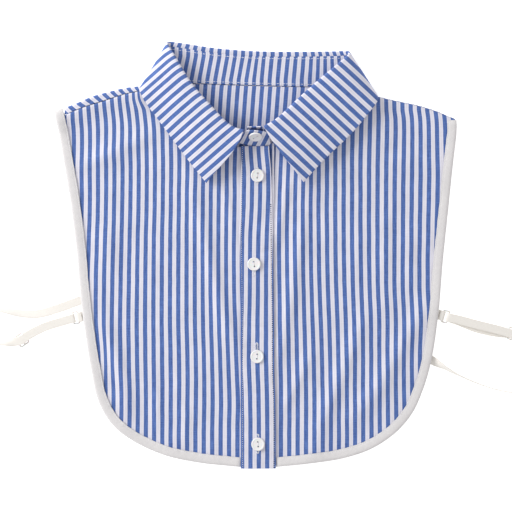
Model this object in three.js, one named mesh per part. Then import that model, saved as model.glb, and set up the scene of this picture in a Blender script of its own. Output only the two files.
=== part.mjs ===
// A detachable shirt-front collar of striped cotton, buttoned and lying flat on its back.
// Millimetres, +Z up: X runs across the front to the right, Y from the hem to the collar, and z = 0 is the
// surface it lies on.
import * as THREE from "three";

// Cloth and gaps
const cloth = 1.0; // thickness of every cloth wall
const gap = 0.3; // clearance kept between neighbouring pieces
const layer = cloth + gap; // from one cloth to the next in a stack

// Heights of the two bodies of cloth
const frontHeight = 3.9; // underside of the front panels away from the neck
const neckRise = 3.6; // how much the front neckline stands above that
const neckRiseReach = 30; // distance over which the rise fades
const shoulderDrop = 1.1; // how much the front sinks at the right shoulder
const shoulderDropReach = 16;
const backRaise = 1.3; // the back panel where its binding or the collar lies under it

// Bindings
const bindingWidth = 8.3;
const panelInset = 1.3; // the cloth's raw edge inside the fold of its binding
const backInset = 9.6; // the back panel's bound edge, inside the front's, at the shoulder
const backInsetLow = 13; // and from the chest down

// Placket
const placketLeft = -11.9;
const placketRight = 15.6;
const placketFlare = 1.2; // extra width to the right at the hem
const placketTop = 94.0; // just below the stand's seam
const placketHem = -184;
const placketThickness = 1.4;
const underPlacketLeft = -10.0;
const underPlacketRight = 13.8;
const underPlacketTop = 92.8;
const underPlacketHem = -181.6;
const panelHem = -180.8; // the front panels' lower inner corners
const panelLeftInner = -10.4; // the left front panel's edge under the placket
const panelRightInner = underPlacketRight + 0.9;

// Collar
const foldRadius = 1.35; // of the leaf's turn over the top of the stand, at the back
const wingFoldRadius = 2.0; // and over the open front
const legLength = 3.2; // the leaf's inner edge, from the fold down to the stand's seam
const endDrop = 1.0; // how far the top of the stand's buttoned ends lies below the fold line
const leafBulge = 1.6; // how much the open leaf arches between its fold and its edge

// Left shoulder, where the back panel's cloth turns up round the fold and runs forward to the seam
const shoulderShare = 0.25; // of the back panel's top edge, at each side
const shoulderTuck = 2.4; // how far the cloth draws back under the fold
const shoulderTurn = 1.9; // how far the turn stands out again
const shoulderSeamGap = 0.55;
const neckHemStep = 0.12; // spacing of the same rows along the neckline

// Buttons
const buttonRadius = 5.8;
const buttonThickness = 2.2;
const buttonHoleRadius = 0.85;
const buttonHoleSpacing = 4.2;
const collarButtonShare = 0.62; // how high up the stand the collar button sits

// Side straps
const bandWidth = 7.6;
const bandThickness = 1.0;
const ringHeight = 2.5; // middle of the ring and slider above the surface
const ringWire = 1.2;
const ringLength = 11.4; // across the band
const ringWidth = 6.4; // along the band
const sliderWidth = 9.6;
const loopRadius = ringWire / 2 + gap + bandThickness / 2; // middle of a band that turns round a bar

// The outer edge of each bound front panel, from the shoulder round to the placket
const leftFrontEdge = [
  { x: -175.4, y: 125.6 },
  { x: -171.4, y: 109.6 },
  { x: -167.9, y: 88.7 },
  { x: -161.0, y: 47.0 },
  { x: -155.7, y: 5.2 },
  { x: -152.6, y: -30.0 },
  { x: -147.9, y: -67.9 },
  { x: -142.6, y: -100.0 },
  { x: -136.5, y: -126.0 },
  { x: -125.0, y: -145.5 },
  { x: -108.0, y: -159.3 },
  { x: -80.0, y: -172.3 },
  { x: -50.0, y: -178.9 },
  { x: -12.4, y: -182.9 },
];
const rightFrontEdge = [
  { x: 173.9, y: 119.5 },
  { x: 174.0, y: 109.6 },
  { x: 170.5, y: 78.3 },
  { x: 166.2, y: 36.5 },
  { x: 161.8, y: -5.2 },
  { x: 158.3, y: -47.0 },
  { x: 152.3, y: -88.7 },
  { x: 145.0, y: -115.0 },
  { x: 135.5, y: -136.0 },
  { x: 121.0, y: -153.0 },
  { x: 100.0, y: -167.0 },
  { x: 75.0, y: -175.4 },
  { x: 45.0, y: -180.0 },
  { x: 17.4, y: -182.8 },
];

// Shoulders: the seam of the left front panel lies forward of the fold, the right one lies on it
const leftShoulderSeam = [
  { x: -172.0, y: 118.8 },
  { x: -165.6, y: 121.6 },
  { x: -148.2, y: 128.7 },
  { x: -133.7, y: 133.2 },
  { x: -114.6, y: 139.4 },
  { x: -102.1, y: 142.2 },
  { x: -90.5, y: 144.6 },
];
const leftShoulderFold = [
  { x: -166.2, y: 128.6 },
  { x: -155.4, y: 132.6 },
  { x: -141.5, y: 138.7 },
  { x: -127.6, y: 142.6 },
  { x: -113.2, y: 145.9 },
  { x: -103.2, y: 147.1 },
  { x: -91.5, y: 148.4 },
];
const rightShoulderFold = [
  { x: 172.6, y: 118.9 },
  { x: 155.6, y: 125.6 },
  { x: 138.3, y: 130.8 },
  { x: 113.5, y: 135.9 },
  { x: 95.0, y: 140.6 },
];

// Necklines of the cloth panels, a little outside the stand's seam
const leftNeckline = [
  { x: -90.5, y: 144.6 },
  { x: -78.6, y: 136.9 },
  { x: -60.4, y: 120.0 },
  { x: -43.5, y: 106.6 },
  { x: -26.0, y: 97.6 },
  { x: -10.4, y: 93.2 },
];
const rightNeckline = [
  { x: 95.0, y: 140.6 },
  { x: 80.6, y: 132.3 },
  { x: 61.8, y: 118.4 },
  { x: 43.5, y: 106.6 },
  { x: 27.5, y: 98.0 },
  { x: 14.1, y: 93.2 },
];
const backNeckline = [
  { x: -91.5, y: 147.6 },
  { x: -76.0, y: 149.2 },
  { x: -40.0, y: 148.1 },
  { x: 0.0, y: 146.9 },
  { x: 40.0, y: 145.8 },
  { x: 80.0, y: 144.4 },
  { x: 95.0, y: 140.6 },
];

// The collar, station by station from the left front round the back to the right front: the stand's seam on
// the panels, the top of the stand where the leaf folds over, and the leaf's outer edge
const collarStations = [
  { at: "left front", seam: [-11.0, 95.4, 9.5], fold: [-11.2, 106.8, 22.4], edge: [-42.8, 62.9, 7.4] },
  { at: "left wing low", seam: [-25.0, 100.0, 8.4], fold: [-20.5, 112.4, 21.0], edge: [-54.5, 77.4, 7.0] },
  { at: "left wing", seam: [-42.0, 109.0, 8.0], fold: [-40.0, 132.0, 17.6], edge: [-67.5, 94.6, 6.9] },
  { at: "left wing high", seam: [-60.0, 122.0, 6.8], fold: [-56.0, 150.8, 14.6], edge: [-83.5, 116.4, 6.8] },
  { at: "left side", seam: [-79.0, 138.8, 5.3], fold: [-69.4, 173.0, 11.4], edge: [-95.2, 132.4, 6.8] },
  { at: "left over", seam: [-87.4, 147.6, 4.7], fold: [-73.6, 181.2, 8.6], edge: [-101.0, 144.4, 6.9] },
  { at: "left crease", seam: [-89.6, 150.6, 3.3], fold: [-73.6, 183.8, 5.9], edge: [-99.9, 149.8, 3.6] },
  { at: "left under", seam: [-87.0, 151.2, 2.1], fold: [-71.4, 184.2, 3.6], edge: [-96.8, 149.2, 0.6] },
  { at: "left back", seam: [-76.0, 150.8, 1.8], fold: [-63.0, 183.4, 3.2], edge: [-87.0, 140.0, 0.5] },
  { at: "back, left", seam: [-40.0, 149.6, 1.8], fold: [-36.0, 180.7, 3.2], edge: [-46.0, 132.4, 0.5] },
  { at: "back", seam: [0.0, 148.4, 1.8], fold: [0.0, 177.9, 3.2], edge: [0.0, 130.4, 0.5] },
  { at: "back, right", seam: [40.0, 147.3, 1.8], fold: [37.0, 177.5, 3.2], edge: [46.0, 131.2, 0.5] },
  { at: "right back", seam: [80.0, 146.2, 1.8], fold: [68.5, 177.8, 3.2], edge: [90.0, 133.0, 0.5] },
  { at: "right under", seam: [91.0, 145.4, 2.1], fold: [76.6, 178.0, 3.6], edge: [101.2, 140.4, 0.6] },
  { at: "right crease", seam: [93.4, 144.4, 3.3], fold: [79.4, 177.0, 5.9], edge: [104.4, 140.6, 3.6] },
  { at: "right over", seam: [90.6, 141.4, 4.7], fold: [78.6, 173.6, 9.2], edge: [105.4, 135.2, 6.9] },
  { at: "right side", seam: [80.0, 133.8, 5.3], fold: [71.0, 166.8, 12.0], edge: [97.5, 123.6, 6.8] },
  { at: "right wing high", seam: [61.0, 120.4, 6.8], fold: [53.5, 152.0, 15.0], edge: [81.5, 104.6, 6.8] },
  { at: "right wing", seam: [42.5, 109.0, 8.0], fold: [34.0, 134.2, 17.8], edge: [65.0, 87.8, 6.9] },
  { at: "right wing low", seam: [27.0, 100.6, 8.4], fold: [17.0, 118.4, 20.2], edge: [51.5, 74.4, 7.0] },
  { at: "right front", seam: [15.2, 96.4, 8.6], fold: [7.4, 109.6, 21.2], edge: [42.3, 64.5, 7.4] },
];
// The buttoned ends of the stand: the left one lies on top, the right one passes under it
const overEnd = [
  { at: "over end", seam: [12.0, 95.2, 9.9], fold: [8.4, 105.0, 20.6] },
  { at: "over button", seam: [0.0, 95.2, 9.7], fold: [-0.8, 108.0, 22.9] },
];
const underEnd = [
  { at: "under button", seam: [3.0, 98.2, 8.4], fold: [-1.0, 111.6, 19.4] },
  { at: "under end", seam: [-8.0, 98.6, 8.3], fold: [-8.0, 111.4, 18.8] },
];

const buttonPlaces = [
  { x: 1.3, y: 69.6, turn: 82 },
  { x: -1.7, y: -7.0, turn: 100 },
  { x: 0.9, y: -87.0, turn: 84 },
  { x: 1.7, y: -162.7, turn: 96 },
];

// Each strap leaves the back panel's edge, turns back beyond the side and returns to its slider and ring
const leftStrap = {
  tab: { x: -149.0, y: -51.6 },
  ring: { x: -156.3, y: -53.6, turn: 12 },
  slider: { x: -203.2, y: -72.6, turn: 36 },
  route: [
    { x: -142.0, y: -34.2, z: 0.9, roll: 0 },
    { x: -153.1, y: -38.6, z: 0.9, roll: 0 },
    { x: -170.9, y: -45.2, z: 0.9, roll: 6 },
    { x: -189.1, y: -50.2, z: 1.9, roll: 20 },
    { x: -204.5, y: -49.8, z: 2.9, roll: 38 },
    { x: -216.6, y: -47.4, z: 4.0, roll: 58 },
    { x: -232.0, y: -44.0, z: 4.2, roll: 75 },
    { x: -252.0, y: -42.0, z: 4.2, roll: 84 },
    { x: -270.0, y: -45.0, z: 4.2, roll: 88 },
    { x: -281.0, y: -57.0, z: 4.2, roll: 90 },
    { x: -277.0, y: -71.0, z: 4.2, roll: 92 },
    { x: -261.0, y: -78.5, z: 4.2, roll: 94 },
    { x: -241.0, y: -77.0, z: 4.2, roll: 97 },
    { x: -227.0, y: -75.0, z: 4.2, roll: 104 },
    { x: -217.0, y: -74.8, z: 4.6, roll: 134 },
    { x: -210.0, y: -74.6, z: 4.3, roll: 172 },
  ],
  upper: [
    { x: -203.2, y: -72.6, z: 4.1, roll: 180 },
    { x: -197.0, y: -68.4, z: 4.1, roll: 180 },
    { x: -183.9, y: -61.8, z: 4.0, roll: 180 },
    { x: -168.5, y: -56.9, z: 3.9, roll: 180 },
  ],
  lower: [
    { x: -168.5, y: -56.9, z: 1.1, roll: 180 },
    { x: -183.9, y: -61.8, z: 1.0, roll: 180 },
    { x: -196.6, y: -68.2, z: 1.0, roll: 180 },
    { x: -201.8, y: -71.6, z: 1.0, roll: 180 },
  ],
};
const rightStrap = {
  tab: { x: 157.6, y: -50.6 },
  ring: { x: 164.4, y: -52.6, turn: -16 },
  slider: { x: 222.6, y: -67.6, turn: -16 },
  route: [
    { x: 143.0, y: -85.4, z: 0.9, roll: 0 },
    { x: 149.5, y: -88.8, z: 0.9, roll: 0 },
    { x: 155.5, y: -92.0, z: 2.2, roll: 22 },
    { x: 163.0, y: -96.4, z: 4.1, roll: 64 },
    { x: 174.9, y: -102.9, z: 4.2, roll: 82 },
    { x: 193.7, y: -111.0, z: 4.2, roll: 86 },
    { x: 212.3, y: -116.6, z: 4.2, roll: 88 },
    { x: 232.0, y: -118.6, z: 4.2, roll: 89 },
    { x: 254.0, y: -116.0, z: 4.2, roll: 90 },
    { x: 273.0, y: -106.0, z: 4.2, roll: 91 },
    { x: 280.0, y: -91.0, z: 4.2, roll: 92 },
    { x: 271.0, y: -79.0, z: 4.2, roll: 96 },
    { x: 254.0, y: -74.0, z: 4.2, roll: 104 },
    { x: 238.0, y: -71.0, z: 4.6, roll: 138 },
    { x: 230.0, y: -69.4, z: 4.3, roll: 172 },
  ],
  upper: [
    { x: 222.6, y: -67.6, z: 4.1, roll: 180 },
    { x: 209.2, y: -63.8, z: 4.1, roll: 180 },
    { x: 192.6, y: -59.7, z: 4.0, roll: 180 },
    { x: 176.0, y: -55.3, z: 3.9, roll: 180 },
  ],
  lower: [
    { x: 176.0, y: -56.6, z: 1.1, roll: 180 },
    { x: 191.0, y: -62.6, z: 1.0, roll: 180 },
    { x: 208.0, y: -66.4, z: 1.0, roll: 180 },
    { x: 220.6, y: -67.6, z: 1.0, roll: 180 },
  ],
};

const stripedCotton = { color: 0x8f9fcb, roughness: 0.85 };
const whiteCotton = { color: 0xeeeef0, roughness: 0.85 };
const ivoryElastic = { color: 0xf0e9e1, roughness: 0.8 };
const whitePlastic = { color: 0xf1f0ee, roughness: 0.35 };
const clearPlastic = { color: 0xe9e6e2, roughness: 0.3 };

const collar = new THREE.Group();

// Small helpers

function smooth(value) {
  const v = Math.min(1, Math.max(0, value));
  return v * v * (3 - 2 * v);
}

function curveThrough(points) {
  const places = points.map((p) => new THREE.Vector3(p.x, p.y, p.z ?? 0));
  return new THREE.CatmullRomCurve3(places, false, "centripetal");
}

function distanceTo(line, x, y) {
  let best = Infinity;
  for (let i = 0; i + 1 < line.length; i++) {
    const a = line[i];
    const b = line[i + 1];
    const length2 = (b.x - a.x) ** 2 + (b.y - a.y) ** 2;
    const along = ((x - a.x) * (b.x - a.x) + (y - a.y) * (b.y - a.y)) / length2;
    const t = Math.min(1, Math.max(0, along));
    best = Math.min(best, Math.hypot(a.x + t * (b.x - a.x) - x, a.y + t * (b.y - a.y) - y));
  }
  return best;
}

function addMesh(name, geometry, finish) {
  const mesh = new THREE.Mesh(geometry, new THREE.MeshStandardMaterial(finish));
  mesh.name = name;
  collar.add(mesh);
  return mesh;
}

// One closed body from shared points and faces, turned so that its faces point out
function closedBody(points, faces) {
  let volume = 0;
  for (const [a, b, c] of faces) {
    volume += points[a].dot(new THREE.Vector3().crossVectors(points[b], points[c]));
  }
  const turned = volume < 0 ? faces.map(([a, b, c]) => [a, c, b]) : faces;
  const geometry = new THREE.BufferGeometry().setFromPoints(points);
  geometry.setIndex(turned.flat());
  geometry.computeVertexNormals();
  return geometry;
}

function quad(faces, a, b, c, d) {
  faces.push([a, b, c], [a, c, d]);
}

// A cloth wall: a grid of points on its middle surface, thickened to both sides and closed round its rim
function clothWall(middle, columns, rows, thickness) {
  const at = (i, j) => middle[j][i];
  const across = columns + 1;
  const sheet = across * (rows + 1);
  const points = [];
  for (const side of [1, -1]) {
    for (let j = 0; j <= rows; j++) {
      for (let i = 0; i <= columns; i++) {
        const east = at(Math.min(i + 1, columns), j).clone().sub(at(Math.max(i - 1, 0), j));
        const north = at(i, Math.min(j + 1, rows)).clone().sub(at(i, Math.max(j - 1, 0)));
        const normal = east.cross(north).normalize();
        points.push(at(i, j).clone().addScaledVector(normal, (side * thickness) / 2));
      }
    }
  }
  const faces = [];
  const top = (i, j) => j * across + i;
  const under = (i, j) => sheet + top(i, j);
  for (let j = 0; j < rows; j++) {
    for (let i = 0; i < columns; i++) {
      quad(faces, top(i, j), top(i + 1, j), top(i + 1, j + 1), top(i, j + 1));
      quad(faces, under(i, j), under(i, j + 1), under(i + 1, j + 1), under(i + 1, j));
    }
  }
  for (let i = 0; i < columns; i++) {
    quad(faces, under(i, 0), under(i + 1, 0), top(i + 1, 0), top(i, 0));
    quad(faces, top(i, rows), top(i + 1, rows), under(i + 1, rows), under(i, rows));
  }
  for (let j = 0; j < rows; j++) {
    quad(faces, top(0, j), top(0, j + 1), under(0, j + 1), under(0, j));
    quad(faces, under(columns, j), under(columns, j + 1), top(columns, j + 1), top(columns, j));
  }
  return closedBody(points, faces);
}

// A body swept through rings of points, closed at both ends by the flat section's own triangles
function sweptBody(rings, section) {
  const size = section.length;
  const faces = [];
  for (let i = 0; i + 1 < rings.length; i++) {
    for (let k = 0; k < size; k++) {
      const next = (k + 1) % size;
      quad(faces, i * size + k, i * size + next, (i + 1) * size + next, (i + 1) * size + k);
    }
  }
  const last = (rings.length - 1) * size;
  const outline = section.map(([u, v]) => new THREE.Vector2(u, v));
  for (const [a, b, c] of THREE.ShapeUtils.triangulateShape(outline, [])) {
    const ccw = THREE.ShapeUtils.isClockWise(outline) ? [a, b, c] : [a, c, b];
    faces.push(ccw);
    faces.push([last + ccw[0], last + ccw[2], last + ccw[1]]);
  }
  return closedBody(rings.flat(), faces);
}

// Point of a patch whose four sides are curves, by Coons' rule
function patchPoint(sides, s, t) {
  const { bottom, top, left, right } = sides;
  const point = new THREE.Vector3();
  point.addScaledVector(bottom(s), 1 - t).addScaledVector(top(s), t);
  point.addScaledVector(left(t), 1 - s).addScaledVector(right(t), s);
  point.addScaledVector(bottom(0), -(1 - s) * (1 - t)).addScaledVector(bottom(1), -s * (1 - t));
  point.addScaledVector(top(0), -(1 - s) * t).addScaledVector(top(1), -s * t);
  return point;
}

function grid(columns, rows, pointAt) {
  const lines = [];
  for (let j = 0; j <= rows; j++) {
    const line = [];
    for (let i = 0; i <= columns; i++) {
      line.push(pointAt(i / columns, j / rows));
    }
    lines.push(line);
  }
  return lines;
}

// Heights of the cloth: the underside of the front panels and of the back panel, over any place of the plan

const frontNeck = [...leftNeckline, ...[...rightNeckline].reverse()];

function frontUnderside(x, y) {
  const nearNeck = Math.exp(-((distanceTo(frontNeck, x, y) / neckRiseReach) ** 2));
  const towardsMiddle = smooth((95 - Math.abs(x)) / 60);
  const drop = shoulderDrop * smooth(1 - distanceTo(rightShoulderFold, x, y) / shoulderDropReach);
  return frontHeight + neckRise * nearNeck * towardsMiddle + ripple(x, y) - drop;
}

// Soft swellings of the front: diagonal waves towards the lower right hem, and one ridge along the left side
function ripple(x, y) {
  const waveHeight = 1.1;
  const waveLength = 62;
  const ridgeHeight = 0.6;
  const lowerRight = Math.exp(-(((x - 105) / 50) ** 2 + ((y + 105) / 60) ** 2));
  const leftSide = Math.exp(-(((x + 135) / 25) ** 2 + ((y + 85) / 60) ** 2));
  const wave = 0.5 + 0.5 * Math.cos(((x + 0.7 * y - 20) * 2 * Math.PI) / waveLength);
  return waveHeight * lowerRight * wave + ridgeHeight * leftSide;
}

const leftEdgeCurve = curveThrough(leftFrontEdge);
const rightEdgeCurve = curveThrough(rightFrontEdge);

// A place along an edge curve, moved a distance to its inner side (side is 1 or -1)
function insetPlace(curve, u, inset, side) {
  const place = curve.getPointAt(u);
  const along = curve.getTangentAt(u);
  return new THREE.Vector3(place.x - side * along.y * inset, place.y + side * along.x * inset, 0);
}

function backEdgePlace(curve, u, side, extra) {
  const inset = backInset + (backInsetLow - backInset) * smooth(u / 0.3) + extra;
  return insetPlace(curve, u, inset, side);
}

const backOutline = [];
for (let i = 0; i <= 30; i++) {
  backOutline.push(backEdgePlace(leftEdgeCurve, i / 30, 1, 0));
}
for (let i = 30; i >= 0; i--) {
  backOutline.push(backEdgePlace(rightEdgeCurve, i / 30, -1, 0));
}

function backUnderside(x, y) {
  const overBinding = smooth((38 - distanceTo(backOutline, x, y)) / 16);
  const overLeaf = smooth((y - 110) / 16) * smooth((134 - Math.abs(x)) / 22);
  return backRaise * Math.max(overBinding, overLeaf);
}

function lift(place, underside, above) {
  place.z = underside(place.x, place.y) + above;
  return place;
}

// Front panels

function cornerCurve(first, second, share) {
  const a = curveThrough(first);
  const b = curveThrough(second);
  return (s) => (s <= share ? a.getPointAt(s / share) : b.getPointAt((s - share) / (1 - share)));
}

function frontPanel(edgeCurve, side, shoulder, neckline, innerX) {
  const first = 0.012; // share of the edge where the patch's side begins, just below the shoulder
  const corner = 0.6; // where the side ends and the hem begins
  const last = 0.998; // where the hem ends, at the placket
  const top = cornerCurve(shoulder, neckline, 0.5);
  const hemCorner = new THREE.Vector3(innerX, panelHem, 0);
  const sides = {
    top,
    left: (t) => {
      if (t > 0.999) return top(0);
      return insetPlace(edgeCurve, first + (corner - first) * (1 - t), panelInset, side);
    },
    bottom: (s) => {
      if (s > 0.999) return hemCorner.clone();
      return insetPlace(edgeCurve, corner + (last - corner) * s, panelInset, side);
    },
    right: (t) => hemCorner.clone().lerp(top(1), t),
  };
  const columns = 12;
  const rows = 16;
  const middle = grid(columns, rows, (s, t) => lift(patchPoint(sides, s, t), frontUnderside, cloth / 2));
  return clothWall(middle, columns, rows, cloth);
}

const leftPanel = frontPanel(leftEdgeCurve, 1, leftShoulderSeam, leftNeckline, panelLeftInner);
const rightPanel = frontPanel(rightEdgeCurve, -1, rightShoulderFold, rightNeckline, panelRightInner);
addMesh("front_panel_left", leftPanel, stripedCotton);
addMesh("front_panel_right", rightPanel, stripedCotton);

// Placket, and the button band under it

function strip(plan, above, thickness) {
  const columns = 2;
  const rows = 24;
  const middle = grid(columns, rows, (s, t) => {
    const y = plan.hem + (plan.top - plan.hem) * t;
    const right = plan.right + plan.flare * (1 - t);
    const x = plan.left + (right - plan.left) * s;
    return lift(new THREE.Vector3(x, y, 0), frontUnderside, above);
  });
  return clothWall(middle, columns, rows, thickness);
}

const placketPlan = {
  left: placketLeft,
  right: placketRight,
  flare: placketFlare,
  top: placketTop,
  hem: placketHem,
};
const underPlacketPlan = {
  left: underPlacketLeft,
  right: underPlacketRight,
  flare: 0,
  top: underPlacketTop,
  hem: underPlacketHem,
};
addMesh("button_placket", strip(placketPlan, layer + placketThickness / 2, placketThickness), stripedCotton);
addMesh("under_placket", strip(underPlacketPlan, cloth / 2, cloth), stripedCotton);

// Bindings: folded round the cloth's edge, U in section

const bindingSection = [
  [0, -layer],
  [bindingWidth, -layer],
  [bindingWidth, -gap],
  [cloth, -gap],
  [cloth, layer],
  [bindingWidth, layer],
  [bindingWidth, layer + cloth],
  [0, layer + cloth],
];

function binding(placeAt, underside, from, to, steps) {
  const rings = [];
  for (let i = 0; i <= steps; i++) {
    const u = from + ((to - from) * i) / steps;
    rings.push(bindingSection.map(([inwards, above]) => lift(placeAt(u, inwards), underside, above)));
  }
  return sweptBody(rings, bindingSection);
}

addMesh(
  "binding_front_left",
  binding((u, d) => insetPlace(leftEdgeCurve, u, d, 1), frontUnderside, 0, 0.997, 36),
  whiteCotton,
);
addMesh(
  "binding_front_right",
  binding((u, d) => insetPlace(rightEdgeCurve, u, d, -1), frontUnderside, 0.004, 0.998, 36),
  whiteCotton,
);

function backBindingPlace(u, inwards) {
  const left = backEdgePlace(leftEdgeCurve, Math.min(1, 2 * u), 1, inwards);
  const right = backEdgePlace(rightEdgeCurve, Math.min(1, 2 - 2 * u), -1, inwards);
  return left.lerp(right, smooth((u - 0.47) / 0.06));
}

addMesh("binding_back", binding(backBindingPlace, backUnderside, 0.02, 0.98, 50), whiteCotton);

// Back panel, with its cloth carried over the left shoulder to the forward seam

function backPanel() {
  const columns = 20;
  const rows = 13;
  const wrapRows = 5;
  const corner = 0.62; // share of the edge where the side ends and the hem begins
  const neckEnd = 1 - shoulderShare;
  const shoulderLeft = curveThrough(leftShoulderFold);
  const shoulderRight = curveThrough([...rightShoulderFold.slice(1).reverse(), { x: 163.6, y: 122.4 }]);
  const neck = curveThrough(backNeckline);
  const top = (s) => {
    if (s <= shoulderShare) return shoulderLeft.getPointAt(s / shoulderShare);
    if (s <= neckEnd) return neck.getPointAt((s - shoulderShare) / (neckEnd - shoulderShare));
    return shoulderRight.getPointAt((s - neckEnd) / shoulderShare);
  };
  const edge = (curve, side) => (u) => backEdgePlace(curve, u, side, panelInset);
  const leftEdge = edge(leftEdgeCurve, 1);
  const rightEdge = edge(rightEdgeCurve, -1);
  const sides = {
    top,
    left: (t) => (t > 0.999 ? top(0) : leftEdge(corner * (1 - t))),
    right: (t) => (t > 0.999 ? top(1) : rightEdge(corner * (1 - t))),
    bottom: (s) => {
      const left = leftEdge(Math.min(1, corner + (1 - corner) * 2 * s));
      const right = rightEdge(Math.min(1, corner + (1 - corner) * (2 - 2 * s)));
      return left.lerp(right, smooth((s - 0.46) / 0.08));
    },
  };
  const foldAside = (s) => {
    const along = shoulderLeft.getTangentAt(Math.min(1, s / shoulderShare));
    return new THREE.Vector3(-along.y, along.x, 0);
  };
  const middle = grid(columns, rows, (s, t) => {
    const place = patchPoint(sides, s, t);
    if (s <= shoulderShare) place.addScaledVector(foldAside(s), -shoulderTuck * t ** 3);
    return lift(place, backUnderside, cloth / 2);
  });
  // The last rows turn up round the left shoulder's fold and run forward to the seam
  const seam = curveThrough(leftShoulderSeam.slice(1));
  const last = middle[rows];
  for (let k = 1; k <= wrapRows; k++) {
    const line = last.map((place, i) => {
      const s = i / columns;
      if (s > 0.98 * shoulderShare) {
        return place.clone().add(new THREE.Vector3(0, neckHemStep * k, 0));
      }
      const outward = foldAside(s);
      const highest = frontUnderside(place.x, place.y) + cloth / 2;
      if (k === wrapRows) {
        const end = seam.getPointAt(s / shoulderShare).addScaledVector(outward, shoulderSeamGap);
        end.z = highest;
        return end;
      }
      const turn = (Math.PI * k) / (wrapRows - 1);
      const turned = place.clone().addScaledVector(outward, shoulderTurn * Math.sin(turn));
      turned.z = place.z + ((highest - place.z) / 2) * (1 - Math.cos(turn));
      return turned;
    });
    middle.push(line);
  }
  return clothWall(middle, columns, rows + wrapRows, cloth);
}

addMesh("back_panel", backPanel(), stripedCotton);

// Collar: stand and leaf run through the same stations

function stationCurves(stations, keys) {
  const curves = {};
  for (const key of keys) {
    curves[key] = curveThrough(stations.map((row) => ({ x: row[key][0], y: row[key][1], z: row[key][2] })));
  }
  return curves;
}

// The frame of a station: up runs from the seam to the fold, out points away from the neck
function stationFrame(curves, u) {
  const step = 0.004;
  const seam = curves.seam.getPoint(u);
  const fold = curves.fold.getPoint(u);
  const up = fold.clone().sub(seam).normalize();
  const before = Math.max(0, u - step);
  const after = Math.min(1, u + step);
  const along = curves.seam.getPoint(after).sub(curves.seam.getPoint(before));
  along.add(curves.fold.getPoint(after)).sub(curves.fold.getPoint(before));
  const out = up.clone().cross(along).normalize();
  return { seam, fold, up, out };
}

function radiusAt(fold) {
  return foldRadius + (wingFoldRadius - foldRadius) * smooth((fold.z - 6) / 8);
}

// Under the leaf the stand stops below the leaf's inner edge, and beyond it the buttoned ends reach the fold line
function collarStand() {
  const stations = [...overEnd, ...collarStations, ...underEnd];
  const curves = stationCurves(stations, ["seam", "fold"]);
  const perStation = 3;
  const columns = perStation * (stations.length - 1);
  const firstCovered = perStation * overEnd.length;
  const lastCovered = columns - firstCovered;
  const rows = 2;
  const middle = grid(columns, rows, (s, t) => {
    const { seam, fold, up } = stationFrame(curves, s);
    const column = Math.round(s * columns);
    const covered = column >= firstCovered && column <= lastCovered;
    const below = covered ? radiusAt(fold) + cloth / 2 + legLength + gap : endDrop;
    return seam.lerp(fold.addScaledVector(up, -below), t);
  });
  return clothWall(middle, columns, rows, cloth);
}

function collarLeaf() {
  const curves = stationCurves(collarStations, ["seam", "fold", "edge"]);
  const columns = 2 * (collarStations.length - 1);
  const foldSteps = 4;
  const leafSteps = 5;
  const lines = [];
  for (let j = 0; j <= 1 + foldSteps + leafSteps; j++) {
    const line = [];
    for (let i = 0; i <= columns; i++) {
      const { fold, up, out } = stationFrame(curves, i / columns);
      const edge = curves.edge.getPoint(i / columns);
      const radius = radiusAt(fold);
      const legTop = fold.clone().addScaledVector(up, -(radius + cloth / 2));
      const reach = edge.clone().sub(legTop);
      const turn = Math.atan2(reach.dot(out), reach.dot(up));
      const onFold = (angle) => {
        const place = legTop.clone().addScaledVector(out, radius * (1 - Math.cos(angle)));
        return place.addScaledVector(up, radius * Math.sin(angle));
      };
      if (j === 0) {
        line.push(legTop.clone().addScaledVector(up, -legLength));
        continue;
      }
      if (j <= 1 + foldSteps) {
        line.push(onFold((turn * (j - 1)) / foldSteps));
        continue;
      }
      const leaving = onFold(turn);
      const heading = up.clone().multiplyScalar(Math.cos(turn)).addScaledVector(out, Math.sin(turn));
      const length = leaving.distanceTo(edge);
      const bulge = leafBulge * smooth((fold.z - 8) / 8);
      const first = leaving.clone().addScaledVector(heading, length / 3);
      first.z += bulge;
      const second = edge.clone().lerp(leaving, 1 / 3);
      second.z += bulge;
      const bend = new THREE.CubicBezierCurve3(leaving, first, second, edge);
      line.push(bend.getPoint((j - 1 - foldSteps) / leafSteps));
    }
    for (const place of line) {
      place.z = Math.max(place.z, cloth / 2);
    }
    lines.push(line);
  }
  return clothWall(lines, columns, lines.length - 1, cloth);
}

addMesh("collar_stand", collarStand(), stripedCotton);
addMesh("collar_leaf", collarLeaf(), stripedCotton);

// Buttons: round, bevelled, with two sewing holes

function buttonGeometry() {
  const bevel = 0.45;
  const shape = new THREE.Shape().absarc(0, 0, buttonRadius - bevel, 0, 2 * Math.PI, false);
  for (const side of [-1, 1]) {
    const x = (side * buttonHoleSpacing) / 2;
    shape.holes.push(new THREE.Path().absarc(x, 0, buttonHoleRadius, 0, 2 * Math.PI, true));
  }
  return new THREE.ExtrudeGeometry(shape, {
    depth: buttonThickness - 2 * bevel,
    bevelEnabled: true,
    bevelThickness: bevel,
    bevelSize: bevel,
    bevelOffset: 0,
    bevelSegments: 1,
    curveSegments: 4,
  }).translate(0, 0, bevel);
}

function degrees(angle) {
  return (angle * Math.PI) / 180;
}

buttonPlaces.forEach((place, i) => {
  const button = addMesh(`button_${i + 1}`, buttonGeometry(), whitePlastic);
  const over = frontUnderside(place.x, place.y) + layer + placketThickness + gap;
  const reach = buttonRadius;
  const rise = frontUnderside(place.x, place.y + reach) - frontUnderside(place.x, place.y - reach);
  const faceUp = new THREE.Vector3(0, -rise / (2 * reach), 1).normalize();
  button.position.set(place.x, place.y, over);
  button.quaternion.setFromUnitVectors(new THREE.Vector3(0, 0, 1), faceUp);
  button.rotateZ(degrees(place.turn));
});

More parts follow.
